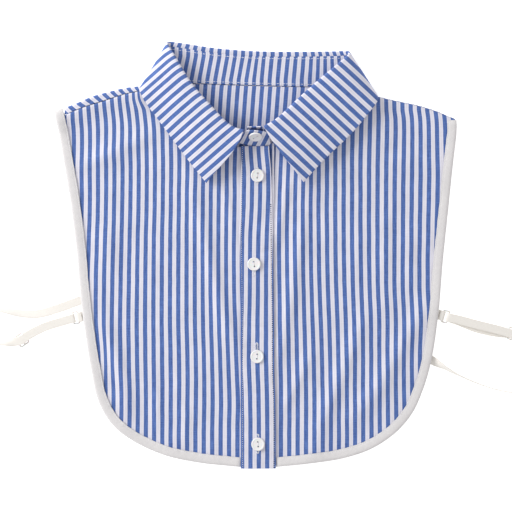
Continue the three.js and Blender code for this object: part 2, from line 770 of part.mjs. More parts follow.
function collarButton() {
  const [overRight, overMiddle] = overEnd;
  const seam = new THREE.Vector3(...overMiddle.seam);
  const fold = new THREE.Vector3(...overMiddle.fold);
  const along = new THREE.Vector3(...collarStations[0].seam).sub(new THREE.Vector3(...overRight.seam));
  const up = fold.clone().sub(seam).normalize();
  const out = up.clone().cross(along).normalize();
  const button = addMesh("button_collar", buttonGeometry(), whitePlastic);
  const place = seam.lerp(fold, collarButtonShare).addScaledVector(out, cloth / 2 + gap + 0.25);
  const right = new THREE.Vector3().crossVectors(up, out).normalize();
  button.setRotationFromMatrix(new THREE.Matrix4().makeBasis(right, up, out));
  button.rotateZ(degrees(8));
  button.position.copy(place);
}

collarButton();

// Straps, rings, sliders and tabs

// A flat band through places that carry their own roll about the route; roll 0 lies flat
function band(route, width, thickness, stepsPerPlace) {
  const curve = curveThrough(route);
  const steps = stepsPerPlace * (route.length - 1);
  const section = [
    [-width / 2, -thickness / 2],
    [width / 2, -thickness / 2],
    [width / 2, thickness / 2],
    [-width / 2, thickness / 2],
  ];
  const rings = [];
  for (let i = 0; i <= steps; i++) {
    const u = i / steps;
    const place = curve.getPoint(u);
    const ahead = curve.getPoint(Math.min(1, u + 0.001));
    const along = ahead.sub(curve.getPoint(Math.max(0, u - 0.001))).normalize();
    const index = Math.min(route.length - 2, Math.floor(u * (route.length - 1)));
    const share = u * (route.length - 1) - index;
    const roll = degrees(route[index].roll + (route[index + 1].roll - route[index].roll) * share);
    const level = route[index].level.clone().lerp(route[index + 1].level, share);
    const side = level.addScaledVector(along, -level.dot(along)).normalize();
    const normal = new THREE.Vector3().crossVectors(along, side);
    const wide = side.clone().multiplyScalar(Math.cos(roll)).addScaledVector(normal, Math.sin(roll));
    const thin = new THREE.Vector3().crossVectors(along, wide);
    rings.push(section.map(([a, b]) => place.clone().addScaledVector(wide, a).addScaledVector(thin, b)));
  }
  return sweptBody(rings, section);
}

// Gives each place of a route the level direction across it in the plan
function withLevels(route) {
  return route.map((place, i) => {
    const before = route[Math.max(0, i - 1)];
    const after = route[Math.min(route.length - 1, i + 1)];
    const along = new THREE.Vector3(after.x - before.x, after.y - before.y, 0).normalize();
    return { ...place, level: new THREE.Vector3(-along.y, along.x, 0) };
  });
}

// Half a turn round a bar whose middle is given, in the upright plane of a heading
function roundBar(bar, heading, level, roll, topFirst) {
  const places = [];
  for (let k = 0; k <= 6; k++) {
    const angle = (Math.PI * k) / 6;
    const height = (topFirst ? 1 : -1) * loopRadius * Math.cos(angle);
    const reach = loopRadius * Math.sin(angle);
    places.push({
      x: bar.x + heading.x * reach,
      y: bar.y + heading.y * reach,
      z: bar.z + height,
      roll,
      level,
    });
  }
  return places;
}

// A frame of round-cornered bars, with a middle bar if it is a slider
function frameGeometry(alongBand, acrossBand, bars) {
  const shape = roundedRectangle(0, alongBand, acrossBand, 1.6);
  const opening = (alongBand - ringWire * (bars + 1)) / bars;
  for (let k = 0; k < bars; k++) {
    const centre = -alongBand / 2 + ringWire + opening / 2 + k * (opening + ringWire);
    shape.holes.push(roundedRectangle(centre, opening, acrossBand - 2 * ringWire, 0.5));
  }
  const extrusion = { depth: ringWire, bevelEnabled: false, curveSegments: 3 };
  return new THREE.ExtrudeGeometry(shape, extrusion).translate(0, 0, -ringWire / 2);
}

function roundedRectangle(centre, width, height, corner) {
  const x = width / 2 - corner;
  const y = height / 2 - corner;
  const shape = new THREE.Shape();
  shape.absarc(centre + x, y, corner, 0, Math.PI / 2, false);
  shape.absarc(centre - x, y, corner, Math.PI / 2, Math.PI, false);
  shape.absarc(centre - x, -y, corner, Math.PI, 1.5 * Math.PI, false);
  shape.absarc(centre + x, -y, corner, 1.5 * Math.PI, 2 * Math.PI, false);
  shape.closePath();
  return shape;
}

function sideStrap(name, strap, outwards) {
  const turn = degrees(strap.ring.turn);
  const heading = new THREE.Vector3(outwards * Math.cos(turn), outwards * Math.sin(turn), 0);
  const level = new THREE.Vector3(-heading.y, heading.x, 0);
  const barOffset = ringWidth / 2 - ringWire / 2;
  const outerBar = {
    x: strap.ring.x + heading.x * barOffset,
    y: strap.ring.y + heading.y * barOffset,
    z: ringHeight,
  };
  const innerBar = {
    x: strap.ring.x - heading.x * barOffset,
    y: strap.ring.y - heading.y * barOffset,
    z: ringHeight,
  };

  const ring = addMesh(`strap_ring_${name}`, frameGeometry(ringWidth, ringLength, 1), clearPlastic);
  ring.position.set(strap.ring.x, strap.ring.y, ringHeight);
  ring.rotation.z = turn;

  const slider = addMesh(`strap_slider_${name}`, frameGeometry(sliderWidth, ringLength, 2), clearPlastic);
  slider.position.set(strap.slider.x, strap.slider.y, ringHeight);
  slider.rotation.z = degrees(strap.slider.turn);

  const inwardHeading = heading.clone().negate();
  const toRing = withLevels([...strap.route, ...strap.upper]);
  const fromRing = withLevels(strap.lower).map((p) => ({ ...p, level: p.level.negate() }));
  const half = roundBar(outerBar, inwardHeading, level.clone().negate(), 180, true);
  const strapPlaces = [...toRing, ...half, ...fromRing];
  addMesh(`strap_${name}`, band(strapPlaces, bandWidth, bandThickness, 2), ivoryElastic);

  const tabStart = { x: strap.tab.x, y: strap.tab.y, z: ringHeight - loopRadius, roll: 0 };
  const tabEnd = { x: strap.ring.x - heading.x * 5.4, y: strap.ring.y - heading.y * 5.4, roll: 0 };
  const tab = [
    { ...tabStart, level },
    ...roundBar(innerBar, heading, level, 0, false),
    { ...tabEnd, z: ringHeight + loopRadius, level },
  ];
  addMesh(`strap_tab_${name}`, band(tab, bandWidth + 1, bandThickness, 2), ivoryElastic);
}

sideStrap("left", leftStrap, -1);
sideStrap("right", rightStrap, 1);

export default collar;
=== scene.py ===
import math
import bmesh
import bpy
import numpy as np
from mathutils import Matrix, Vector


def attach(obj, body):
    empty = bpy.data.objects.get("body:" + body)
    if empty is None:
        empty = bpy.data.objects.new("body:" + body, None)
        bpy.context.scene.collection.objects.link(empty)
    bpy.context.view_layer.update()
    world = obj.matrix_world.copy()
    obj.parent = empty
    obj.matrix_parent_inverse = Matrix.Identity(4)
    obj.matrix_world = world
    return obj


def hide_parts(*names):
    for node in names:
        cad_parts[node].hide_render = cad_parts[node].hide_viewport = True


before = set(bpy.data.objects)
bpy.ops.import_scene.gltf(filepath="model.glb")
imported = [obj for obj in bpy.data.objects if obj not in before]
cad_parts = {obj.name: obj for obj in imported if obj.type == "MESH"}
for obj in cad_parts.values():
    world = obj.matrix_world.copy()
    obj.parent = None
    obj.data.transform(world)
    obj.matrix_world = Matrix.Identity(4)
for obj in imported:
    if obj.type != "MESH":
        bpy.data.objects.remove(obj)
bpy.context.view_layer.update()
scene = bpy.context.scene
mm = 0.001

# Cloth and gaps, the same as the solids'
cloth = 1.0
gap = 0.3
layer = cloth + gap

# Camera straight above, as the photograph was taken
cameraPlace = {"height": 1.237, "lens": 100.0, "sensor": 36.0}

camera = bpy.data.objects.new("camera", bpy.data.cameras.new("camera"))
camera.data.lens = cameraPlace["lens"]
camera.data.sensor_width = cameraPlace["sensor"]
camera.data.clip_end = 20.0
camera.location = (0, 0, cameraPlace["height"])
scene.collection.objects.link(camera)
scene.camera = camera

# Materials


def linear(hexColour):
    channels = [int(hexColour[i : i + 2], 16) / 255 for i in (1, 3, 5)]
    return tuple(c / 12.92 if c <= 0.04045 else ((c + 0.055) / 1.055) ** 2.4 for c in channels) + (1.0,)


# Adds a node with its settings; each input takes a value or another node's output
def addNode(tree, kind, settings=None, inputs=None):
    node = tree.nodes.new(kind)
    for name, value in (settings or {}).items():
        setattr(node, name, value)
    for name, value in (inputs or {}).items():
        if isinstance(value, bpy.types.NodeSocket):
            tree.links.new(value, node.inputs[name])
        else:
            node.inputs[name].default_value = value
    return node


def maths(tree, operation, *values):
    return addNode(tree, "ShaderNodeMath", {"operation": operation}, dict(enumerate(values))).outputs[0]


def noise(tree, vector, scale=1.0, detail=2.0, distortion=0.0):
    inputs = {"Vector": vector, "Scale": scale, "Detail": detail, "Distortion": distortion}
    return addNode(tree, "ShaderNodeTexNoise", inputs=inputs).outputs[0]


def mixed(tree, factor, first, second):
    inputs = {"Factor": factor, 6: first, 7: second}
    return addNode(tree, "ShaderNodeMix", {"data_type": "RGBA"}, inputs).outputs[2]


# Brings a value from one range to another and holds it there
def ranged(tree, value, low, high, toLow=0.0, toHigh=1.0, kind="LINEAR"):
    inputs = {"Value": value, "From Min": low, "From Max": high, "To Min": toLow, "To Max": toHigh}
    return addNode(tree, "ShaderNodeMapRange", {"interpolation_type": kind}, inputs).outputs[0]


def scaledVector(tree, vector, factor):
    inputs = {0: vector, "Scale": factor}
    return addNode(tree, "ShaderNodeVectorMath", {"operation": "SCALE"}, inputs).outputs[0]


def objectPlace(tree):
    return addNode(tree, "ShaderNodeTexCoord").outputs["Object"]


# Flat place on the cloth in millimetres: x runs across the stripes, y along them
def flatPlace(tree):
    return scaledVector(tree, addNode(tree, "ShaderNodeUVMap", {"uv_map": "flat"}).outputs[0], 1 / mm)


def stretched(tree, vector, x, y):
    scaled = {"Vector": vector, "Scale": (1 / x, 1 / y, 1)}
    return addNode(tree, "ShaderNodeMapping", inputs=scaled).outputs[0]


def newMaterial(name):
    material = bpy.data.materials.new(name)
    material.use_nodes = True
    material.node_tree.nodes.clear()
    return material, material.node_tree


# Ends a material: relief is its bump's height, its strength and its depth in metres
def finishMaterial(tree, colour, surface, relief=()):
    inputs = {"Base Color": colour, **surface}
    if relief:
        bump = addNode(tree, "ShaderNodeBump", inputs=dict(zip(("Height", "Strength", "Distance"), relief)))
        inputs["Normal"] = bump.outputs[0]
    shader = addNode(tree, "ShaderNodeBsdfPrincipled", inputs=inputs)
    addNode(tree, "ShaderNodeOutputMaterial", inputs={"Surface": shader.outputs[0]})


shirting = {
    "repeat": 7.0,  # one blue and one white stripe
    "blueShare": 0.517,
    "edgeSoftness": 0.018,  # share of the repeat over which blue turns to white, on each side
    "wander": 0.5,  # how far the stripes' edges stray
    "blue": "#607DBC",
    "blueDeep": "#435D9C",
    "white": "#E1DFEA",
    "whiteLine": "#D8D6E2",
}


# Yarn-dyed cotton poplin, plain woven: soft matt stripes with a fine crossed grain and slubby yarns
def makeShirting():
    material, tree = newMaterial("yarn-dyed cotton poplin")
    place = flatPlace(tree)
    warpYarn = noise(tree, stretched(tree, place, 0.5, 9.0))
    weftYarn = noise(tree, stretched(tree, place, 9.0, 0.5))
    wander = noise(tree, stretched(tree, place, 60.0, 25.0))
    across = addNode(tree, "ShaderNodeSeparateXYZ", inputs={0: place}).outputs[0]
    shifted = maths(tree, "MULTIPLY_ADD", maths(tree, "SUBTRACT", wander, 0.5), shirting["wander"], across)
    share = maths(tree, "FRACT", maths(tree, "DIVIDE", shifted, shirting["repeat"]))
    fromBlue = maths(tree, "ABSOLUTE", maths(tree, "SUBTRACT", share, 0.5))
    half, softness = shirting["blueShare"] / 2, shirting["edgeSoftness"]
    isWhite = ranged(tree, fromBlue, half - softness, half + softness, kind="SMOOTHSTEP")
    lineShare = ranged(tree, fromBlue, 0.37, 0.47, toHigh=0.75, kind="SMOOTHSTEP")
    yarns = maths(tree, "ADD", maths(tree, "MULTIPLY", warpYarn, 0.6), maths(tree, "MULTIPLY", weftYarn, 0.4))
    slub = ranged(tree, yarns, 0.35, 0.65)
    blue = mixed(tree, slub, linear(shirting["blueDeep"]), linear(shirting["blue"]))
    white = mixed(tree, lineShare, linear(shirting["white"]), linear(shirting["whiteLine"]))
    grain = ranged(tree, yarns, 0.3, 0.7, 0.92, 1.06)
    wash = ranged(tree, noise(tree, stretched(tree, place, 8.0, 22.0), detail=3.0), 0.3, 0.7, 0.95, 1.05)
    toned = scaledVector(tree, mixed(tree, isWhite, blue, white), maths(tree, "MULTIPLY", grain, wash))
    weave = noise(tree, stretched(tree, place, 0.45, 0.45), detail=1.0)
    relief = (maths(tree, "MULTIPLY_ADD", yarns, 0.7, weave), 0.35, 0.00012)
    surface = {
        "Roughness": 0.86,
        "IOR": 1.45,
        "Specular IOR Level": 0.25,
        "Sheen Weight": 0.12,
        "Sheen Roughness": 0.5,
    }
    finishMaterial(tree, toned, surface, relief)
    return material


plainCloth = {"colour": "#E2DFDF", "shade": "#D5D2D3"}


# White cotton binding cut on the bias: its threads cross at 45 degrees to the edge
def makeBindingCotton():
    material, tree = newMaterial("white bias-cut cotton")
    turning = {"Vector": flatPlace(tree), "Angle": math.radians(45)}
    turned = addNode(tree, "ShaderNodeVectorRotate", {"rotation_type": "Z_AXIS"}, turning).outputs[0]
    warp = noise(tree, stretched(tree, turned, 0.5, 6.0))
    weft = noise(tree, stretched(tree, turned, 6.0, 0.5))
    yarns = maths(tree, "MULTIPLY", maths(tree, "ADD", warp, weft), 0.5)
    slub = ranged(tree, yarns, 0.35, 0.65)
    colour = mixed(tree, slub, linear(plainCloth["shade"]), linear(plainCloth["colour"]))
    surface = {"Roughness": 0.85, "Specular IOR Level": 0.25, "Sheen Weight": 0.1}
    finishMaterial(tree, colour, surface, (yarns, 0.4, 0.00015))
    return material


# Polyester sewing thread: white, slightly lustrous, with the ply's twist as a fine uneven relief
def makeThread():
    material, tree = newMaterial("spun sewing thread")
    twist = noise(tree, objectPlace(tree), 2500.0)
    colour = mixed(tree, twist, linear("#DCDCE4"), linear("#F7F7FA"))
    finishMaterial(tree, colour, {"Roughness": 0.6, "Sheen Weight": 0.2}, (twist, 0.3, 0.0001))
    return material


# Needle holes between the stitches: painted shade, dark and matt marks that stand in for the shadow inside each
# hole, faintly uneven
def makePaintedHoleShade():
    material, tree = newMaterial("painted shade of needle holes")
    pit = noise(tree, objectPlace(tree), 900.0)
    # Painted shade: near-black blue-greys for the shadow in the holes
    finishMaterial(tree, mixed(tree, pit, linear("#2E3142"), linear("#4C4F60")), {"Roughness": 0.95})
    return material


knitting = {"rib": 0.85, "course": 0.9}  # millimetres from one to the next


# Knitted elastic: ivory, with lengthwise ribs and fine cross threads; its colour is painted darker in the rib
# valleys and lighter on the rib tops, painted shade and highlight of the ribs, mixed with a random fuzz
def makeElastic():
    material, tree = newMaterial("knitted ivory elastic")
    place = flatPlace(tree)
    parts = addNode(tree, "ShaderNodeSeparateXYZ", inputs={0: place})
    ribs = maths(tree, "SINE", maths(tree, "MULTIPLY", parts.outputs[0], 2 * math.pi / knitting["rib"]))
    courses = maths(tree, "SINE", maths(tree, "MULTIPLY", parts.outputs[1], 2 * math.pi / knitting["course"]))
    knit = maths(tree, "MULTIPLY_ADD", courses, 0.35, ribs)
    fuzz = noise(tree, stretched(tree, place, 0.6, 1.4))
    # Painted shade and highlight: rib valleys darker, rib tops lighter, with random fuzz
    ribShadeAndFuzz = maths(tree, "MULTIPLY", maths(tree, "ADD", ranged(tree, knit, -1.3, 1.3), fuzz), 0.5)
    colour = mixed(tree, ribShadeAndFuzz, linear("#E7E1D9"), linear("#FCF9F4"))
    surface = {"Roughness": 0.7, "Specular IOR Level": 0.3, "Sheen Weight": 0.2}
    finishMaterial(tree, colour, surface, (knit, 0.35, 0.0002))
    return material


# Cast polyester resin, turned and tumbled: milky white with faint pearly clouds and a soft polish
def makeButtonResin():
    material, tree = newMaterial("cast polyester button resin")
    place = objectPlace(tree)
    clouds = noise(tree, place, 260.0, detail=3.0, distortion=1.2)
    surface = {
        "Roughness": 0.3,
        "IOR": 1.54,
        "Coat Weight": 0.15,
        "Coat Roughness": 0.2,
        "Subsurface Weight": 0.08,
        "Subsurface Scale": 0.001,
    }
    colour = mixed(tree, clouds, linear("#E9E8E8"), linear("#F3F2F2"))
    finishMaterial(tree, colour, surface, (noise(tree, place, 1800.0), 0.08, 0.0001))
    return material


# Moulded acetal rings and sliders: milky, smooth, slightly see-through at the edges
def makeAcetal():
    material, tree = newMaterial("moulded milky acetal")
    flow = noise(tree, objectPlace(tree), 700.0)
    surface = {"Roughness": 0.28, "IOR": 1.48, "Subsurface Weight": 0.2, "Subsurface Scale": 0.001}
    colour = mixed(tree, flow, linear("#D2CFCC"), linear("#E8E6E3"))
    finishMaterial(tree, colour, surface, (flow, 0.1, 0.0001))
    return material


lightTable = {"glow": 0.55, "dull": (0.93, 0.93, 0.93, 1), "bright": (0.95, 0.95, 0.95, 1)}


# Opal acrylic sheet lit from below: white throughout, and it takes the shadows out
def makeOpalAcrylic():
    material, tree = newMaterial("opal acrylic sheet")
    fibres = noise(tree, objectPlace(tree), 120.0, detail=4.0)
    surface = {
        "Roughness": 0.9,
        "Specular IOR Level": 0.0,
        "Emission Color": (1, 1, 1, 1),
        "Emission Strength": lightTable["glow"],
    }
    finishMaterial(tree, mixed(tree, fibres, lightTable["dull"], lightTable["bright"]), surface)
    return material


poplin = makeShirting()
biasCotton = makeBindingCotton()
thread = makeThread()
paintedHoleShade = makePaintedHoleShade()
elastic = makeElastic()
buttonResin = makeButtonResin()
acetal = makeAcetal()
opalAcrylic = makeOpalAcrylic()
print("materials made")

# Lines and distances on the pattern


def smooth(value):
    v = np.clip(value, 0, 1)
    return v * v * (3 - 2 * v)


# A smooth line through points, the centripetal spline that the solids follow too
class SmoothLine:
    def __init__(self, points, perSpan=24):
        self.points = np.array(points, float)
        spans = len(self.points) - 1
        self.shares = np.linspace(0, 1, spans * perSpan + 1)
        self.dense = self.at(self.shares)
        steps = np.linalg.norm(np.diff(self.dense, axis=0), axis=1)
        self.run = np.concatenate([[0], np.cumsum(steps)])

    # Place at a share of the spans, each span counting the same
    def at(self, share):
        p = self.points
        share = np.atleast_1d(np.asarray(share, float))
        scaled = np.clip(share, 0, 1) * (len(p) - 1)
        index = np.minimum(scaled.astype(int), len(p) - 2)
        t = (scaled - index)[:, None]
        padded = np.vstack([2 * p[0] - p[1], p, 2 * p[-1] - p[-2]])
        a, b, c, d = (padded[index + k] for k in range(4))
        gaps = [np.linalg.norm(q - r, axis=1)[:, None] for q, r in ((b, a), (c, b), (d, c))]
        ab, bc, cd = (np.maximum(length, 1e-9) ** 0.5 for length in gaps)
        leave = ((b - a) / ab - (c - a) / (ab + bc) + (c - b) / bc) * bc
        arrive = ((c - b) / bc - (d - b) / (bc + cd) + (d - c) / cd) * bc
        t2, t3 = t * t, t**3
        return b + leave * t + (3 * (c - b) - 2 * leave - arrive) * t2 + (2 * (b - c) + leave + arrive) * t3

    # Place at a share of the length
    def along(self, share):
        wanted = np.clip(np.atleast_1d(share), 0, 1) * self.run[-1]
        return np.stack([np.interp(wanted, self.run, column) for column in self.dense.T], -1)

    def heading(self, share):
        share = np.atleast_1d(share)
        step = 0.002
        way = self.along(np.minimum(share + step, 1)) - self.along(np.maximum(share - step, 0))
        return way / np.linalg.norm(way, axis=1)[:, None]


def distanceTo(line, x, y):
    best = np.full(np.shape(x), np.inf)
    for start, end in zip(line[:-1], line[1:]):
        span = end - start
        share = np.clip(((x - start[0]) * span[0] + (y - start[1]) * span[1]) / (span @ span), 0, 1)
        best = np.minimum(best, np.hypot(start[0] + share * span[0] - x, start[1] + share * span[1] - y))
    return best


# The outer edge of each bound front panel, from the shoulder round to the placket
leftFrontEdge = SmoothLine([
    (-175.4, 125.6), (-171.4, 109.6), (-167.9, 88.7), (-161.0, 47.0), (-155.7, 5.2), (-152.6, -30.0),
    (-147.9, -67.9), (-142.6, -100.0), (-136.5, -126.0), (-125.0, -145.5), (-108.0, -159.3), (-80.0, -172.3),
    (-50.0, -178.9), (-12.4, -182.9),
])
rightFrontEdge = SmoothLine([
    (173.9, 119.5), (174.0, 109.6), (170.5, 78.3), (166.2, 36.5), (161.8, -5.2), (158.3, -47.0),
    (152.3, -88.7), (145.0, -115.0), (135.5, -136.0), (121.0, -153.0), (100.0, -167.0), (75.0, -175.4),
    (45.0, -180.0), (17.4, -182.8),
])
leftShoulderSeam = [
    (-172.0, 118.8), (-165.6, 121.6), (-148.2, 128.7), (-133.7, 133.2), (-114.6, 139.4), (-102.1, 142.2),
    (-90.5, 144.6),
]
leftShoulderFold = [
    (-166.2, 128.6), (-155.4, 132.6), (-141.5, 138.7), (-127.6, 142.6), (-113.2, 145.9), (-103.2, 147.1),
    (-91.5, 148.4),
]
rightShoulderFold = [(172.6, 118.9), (155.6, 125.6), (138.3, 130.8), (113.5, 135.9), (95.0, 140.6)]
leftNeckline = [(-90.5, 144.6), (-78.6, 136.9), (-60.4, 120.0), (-43.5, 106.6), (-26.0, 97.6), (-10.4, 93.2)]
rightNeckline = [(95.0, 140.6), (80.6, 132.3), (61.8, 118.4), (43.5, 106.6), (27.5, 98.6), (14.1, 97.4)]
backNeckline = [
    (-91.5, 147.6), (-76.0, 149.2), (-40.0, 148.1), (0.0, 146.9), (40.0, 145.8), (80.0, 144.4), (95.0, 140.6),
]

frontNeck = np.array(leftNeckline + rightNeckline[::-1])
rightShoulder = np.array(rightShoulderFold)
leftShoulder = np.array(leftShoulderSeam)

drape = {
    "seed": 11,
    "waves": 14,
    "height": 0.08,  # of each wave
    "shortest": 22.0,
    "longest": 75.0,
}


# Soft unevenness of cloth laid out by hand, a sum of long low waves in all directions
def makeDrape():
    random = np.random.RandomState(drape["seed"])
    heading = random.uniform(0, math.pi, drape["waves"])
    length = random.uniform(drape["shortest"], drape["longest"], drape["waves"])
    start = random.uniform(0, 2 * math.pi, drape["waves"])

    def unevenness(x, y):
        total = np.zeros(np.shape(x))
        for h, w, s in zip(heading, length, start):
            total += np.sin((x * math.cos(h) + y * math.sin(h)) * 2 * math.pi / w + s)
        return drape["height"] * total

    return unevenness


unevenness = makeDrape()

# Soft folds pressed into the front by wearing and laying out: their ridges, half widths and heights
folds = [
    {"ridge": [(-59, 76), (-44, 18), (-35.5, -21), (-25, -61.5), (-14, -92)], "width": 6.5, "height": 2.18},
    {"ridge": [(-26, 60), (-22, 35), (-17, 8)], "width": 4.5, "height": 1.38},
    {"ridge": [(29, 66), (22, 35), (17, 4)], "width": 4.0, "height": 1.61},
    {"ridge": [(44, 50), (37, 5), (31.6, -34), (25, -64), (18.6, -96)], "width": 6.0, "height": 2.18},
    {"ridge": [(50, -80), (34, -113), (21, -136)], "width": 5.5, "height": 1.61},
    {"ridge": [(95, -48), (83, -82), (68, -116), (57, -148), (53, -168)], "width": 7.0, "height": 2.53},
    {"ridge": [(146, -44), (122, -86), (105, -114), (80, -146)], "width": 8.5, "height": 2.99},
    {"ridge": [(131, 20), (134, 0), (138, -22)], "width": 6.0, "height": 1.38},
    {"ridge": [(-133, -52), (-120, -90), (-113.5, -116), (-112, -146)], "width": 6.0, "height": 2.07},
    {"ridge": [(-152, 79), (-118, 92), (-84, 108)], "width": 8.0, "height": 2.30},
    {"ridge": [(-136, 28), (-128, 12), (-123, -14)], "width": 8.0, "height": 1.61},
    {"ridge": [(90, 30), (87, 0), (86, -28)], "width": 6.0, "height": 1.15},
    {"ridge": [(112, 34), (112, 4), (110, -24)], "width": 6.0, "height": 1.15},
    {"ridge": [(-87, -108), (-86, -130), (-86, -152)], "width": 4.0, "height": 1.03},
    {"ridge": [(-62, -128), (-61, -148), (-61, -166)], "width": 4.0, "height": 1.15},
    {"ridge": [(-120, -54), (-70, -57), (-22, -63)], "width": 2.6, "height": -0.37},
    {"ridge": [(-11, -60), (2, -62), (14, -59)], "width": 2.2, "height": -0.4},
    {"ridge": [(-11, -77), (-4, -79), (2, -79)], "width": 2.2, "height": -0.4},
    {"ridge": [(-10, 4), (2, 2.5), (14, 5)], "width": 2.4, "height": -0.4},
    {"ridge": [(-10, -117), (2, -119), (13, -116)], "width": 3.0, "height": -0.35},
]


def foldHeights(x, y):
    total = np.zeros(np.shape(x))
    for fold in folds:
        line = SmoothLine(fold["ridge"])
        count = int(line.run[-1] / (0.6 * fold["width"])) + 2
        share = np.linspace(0, 1, count)
        step = line.run[-1] / (count - 1)
        fade = np.sqrt(np.sin(math.pi * (share * 0.96 + 0.02)))  # towards both ends of the ridge
        strength = fold["height"] * step / (fold["width"] * math.sqrt(math.pi)) * fade
        for (px, py), s in zip(line.along(share), strength):
            total += s * np.exp(-((x - px) ** 2 + (y - py) ** 2) / fold["width"] ** 2)
    return total


# Soft swellings of the front: diagonal waves towards the lower right hem, and one ridge along the left side
swellings = {
    "waves": {"place": (105, -105), "reach": (50, 60), "height": 0.3},
    "ridge": {"place": (-135, -85), "reach": (25, 60), "height": 0.6},
    "waveLength": 62,
    "waveSlant": 0.7,
    "waveStart": 20,
}


def swelling(x, y, kind):
    (px, py), (rx, ry) = swellings[kind]["place"], swellings[kind]["reach"]
    return swellings[kind]["height"] * np.exp(-(((x - px) / rx) ** 2 + ((y - py) / ry) ** 2))


def ripple(x, y):
    run = x + swellings["waveSlant"] * y - swellings["waveStart"]
    wave = 0.5 + 0.5 * np.cos(run * 2 * math.pi / swellings["waveLength"])
    return swelling(x, y, "waves") * wave + swelling(x, y, "ridge")


# Under each wing the front is pushed up, and it falls away from the wing's outer edge
wingRises = [
    {"from": (42.3, 64.5), "to": (105.4, 135.2), "outwards": (0.746, -0.666), "height": 4.4, "fall": 23.0},
    {"from": (-42.8, 62.9), "to": (-101.0, 144.4), "outwards": (-0.814, -0.581), "height": 0.9, "fall": 18.0},
]
wingRiseEnds = {"inwards": 28, "start": 18, "past": 8, "end": 20}


def wingRise(x, y):
    total = np.zeros(np.shape(x))
    for rise in wingRises:
        start, end = np.array(rise["from"]), np.array(rise["to"])
        length = np.linalg.norm(end - start)
        along = ((x - start[0]) * (end - start)[0] + (y - start[1]) * (end - start)[1]) / length
        outside = (x - start[0]) * rise["outwards"][0] + (y - start[1]) * rise["outwards"][1]
        inside = np.minimum(outside, 0) / wingRiseEnds["inwards"]
        away = np.exp(-np.maximum(outside, 0) / rise["fall"] - inside**2)
        start = smooth((along + wingRiseEnds["start"]) / wingRiseEnds["start"])
        end = smooth((length + wingRiseEnds["past"] - along) / wingRiseEnds["end"])
        total = total + rise["height"] * away * start * end
    return total


frontLie = {
    "height": 3.9,
    "neckRise": 3.6,
    "neckReach": 30,
    "neckSides": (95, 60),  # where the rise at the neck ends at either side, and over what width
    "rightDrop": 1.1,
    "rightReach": 16,
    "leftRise": 3.2,  # over the strip that is turned under the left shoulder
    "leftReach": 11,
}


# Underside of the front cloth over any place of the plan
def frontUnderside(x, y):
    nearNeck = np.exp(-((distanceTo(frontNeck, x, y) / frontLie["neckReach"]) ** 2))
    side, width = frontLie["neckSides"]
    towardsMiddle = smooth((side - np.abs(x)) / width)
    drop = frontLie["rightDrop"] * smooth(1 - distanceTo(rightShoulder, x, y) / frontLie["rightReach"])
    rise = frontLie["leftRise"] * np.exp(-((distanceTo(leftShoulder, x, y) / frontLie["leftReach"]) ** 2))
    shape = frontLie["height"] + frontLie["neckRise"] * nearNeck * towardsMiddle + ripple(x, y) + rise - drop
    return shape + wingRise(x, y) + unevenness(x, y) + foldHeights(x, y)


# A place along an edge line, moved to its inner side (side is 1 on the left, -1 on the right)
def insetPlace(line, share, inset, side):
    share = np.atleast_1d(share)
    place = line.along(share)
    way = line.heading(share)
    inset = np.broadcast_to(inset, share.shape)
    return place + side * np.stack([-way[:, 1] * inset, way[:, 0] * inset], -1)


# The back's edge lies inside the front's, and further inside below the shoulder
backEdge = {"inset": 9.6, "more": 3.4, "over": 0.3}


def backEdgePlace(line, share, side, extra):
    share = np.atleast_1d(share)
    inset = backEdge["inset"] + backEdge["more"] * smooth(share / backEdge["over"]) + extra
    return insetPlace(line, share, inset, side)


outlineShares = np.linspace(0, 1, 31)
backOutline = np.vstack([
    backEdgePlace(leftFrontEdge, outlineShares, 1, 0),
    backEdgePlace(rightFrontEdge, outlineShares[::-1], -1, 0),
])


# The back lies on the surface, but over its own binding and over the folded-under leaf
backLie = {"height": 1.3, "bindingReach": 38, "leafY": 110, "leafX": 134, "blend": 16, "sideBlend": 22}


def backUnderside(x, y):
    overBinding = smooth((backLie["bindingReach"] - distanceTo(backOutline, x, y)) / backLie["blend"])
    overLeaf = smooth((y - backLie["leafY"]) / backLie["blend"])
    overLeaf = overLeaf * smooth((backLie["leafX"] - np.abs(x)) / backLie["sideBlend"])
    return backLie["height"] * np.maximum(overBinding, overLeaf)


def lifted(plan, underside, above):
    plan = np.asarray(plan, float)
    height = underside(plan[..., 0], plan[..., 1]) + above
    return np.concatenate([plan[..., :2], height[..., None]], -1)


# Places of a patch whose four sides are lines, by Coons' rule
def patch(sides, columns, rows):
    s = np.linspace(0, 1, columns + 1)
    t = np.linspace(0, 1, rows + 1)
    bottom, top = sides["bottom"](s), sides["top"](s)
    left, right = sides["left"](t), sides["right"](t)
    s, t = s[None, :, None], t[:, None, None]
    ruled = (1 - t) * bottom[None] + t * top[None] + (1 - s) * left[:, None] + s * right[:, None]
    lower = (1 - s) * bottom[0] + s * bottom[-1]
    upper = (1 - s) * top[0] + s * top[-1]
    return ruled - (1 - t) * lower - t * upper


# Meshes


def meshObject(name, vertices, faces, flat, material):
    mesh = bpy.data.meshes.new(name)
    mesh.from_pydata([tuple(v * mm) for v in vertices], [], faces)
    if flat is not None:
        uv = mesh.uv_layers.new(name="flat")
        corner = np.zeros(len(mesh.loops), int)
        mesh.loops.foreach_get("vertex_index", corner)
        uv.data.foreach_set("uv", (flat[corner] * mm).ravel())
    mesh.polygons.foreach_set("use_smooth", [True] * len(mesh.polygons))
    mesh.materials.append(material)
    mesh.update()
    piece = bpy.data.objects.new(name, mesh)
    scene.collection.objects.link(piece)
    return piece


def gridFaces(rows, columns, closed=False):
    index = np.arange(rows * columns).reshape(rows, columns)
    if closed:
        index = np.concatenate([index, index[:, :1]], 1)
    corners = [index[:-1, :-1], index[:-1, 1:], index[1:, 1:], index[1:, :-1]]
    return np.stack(corners, -1).reshape(-1, 4).tolist()


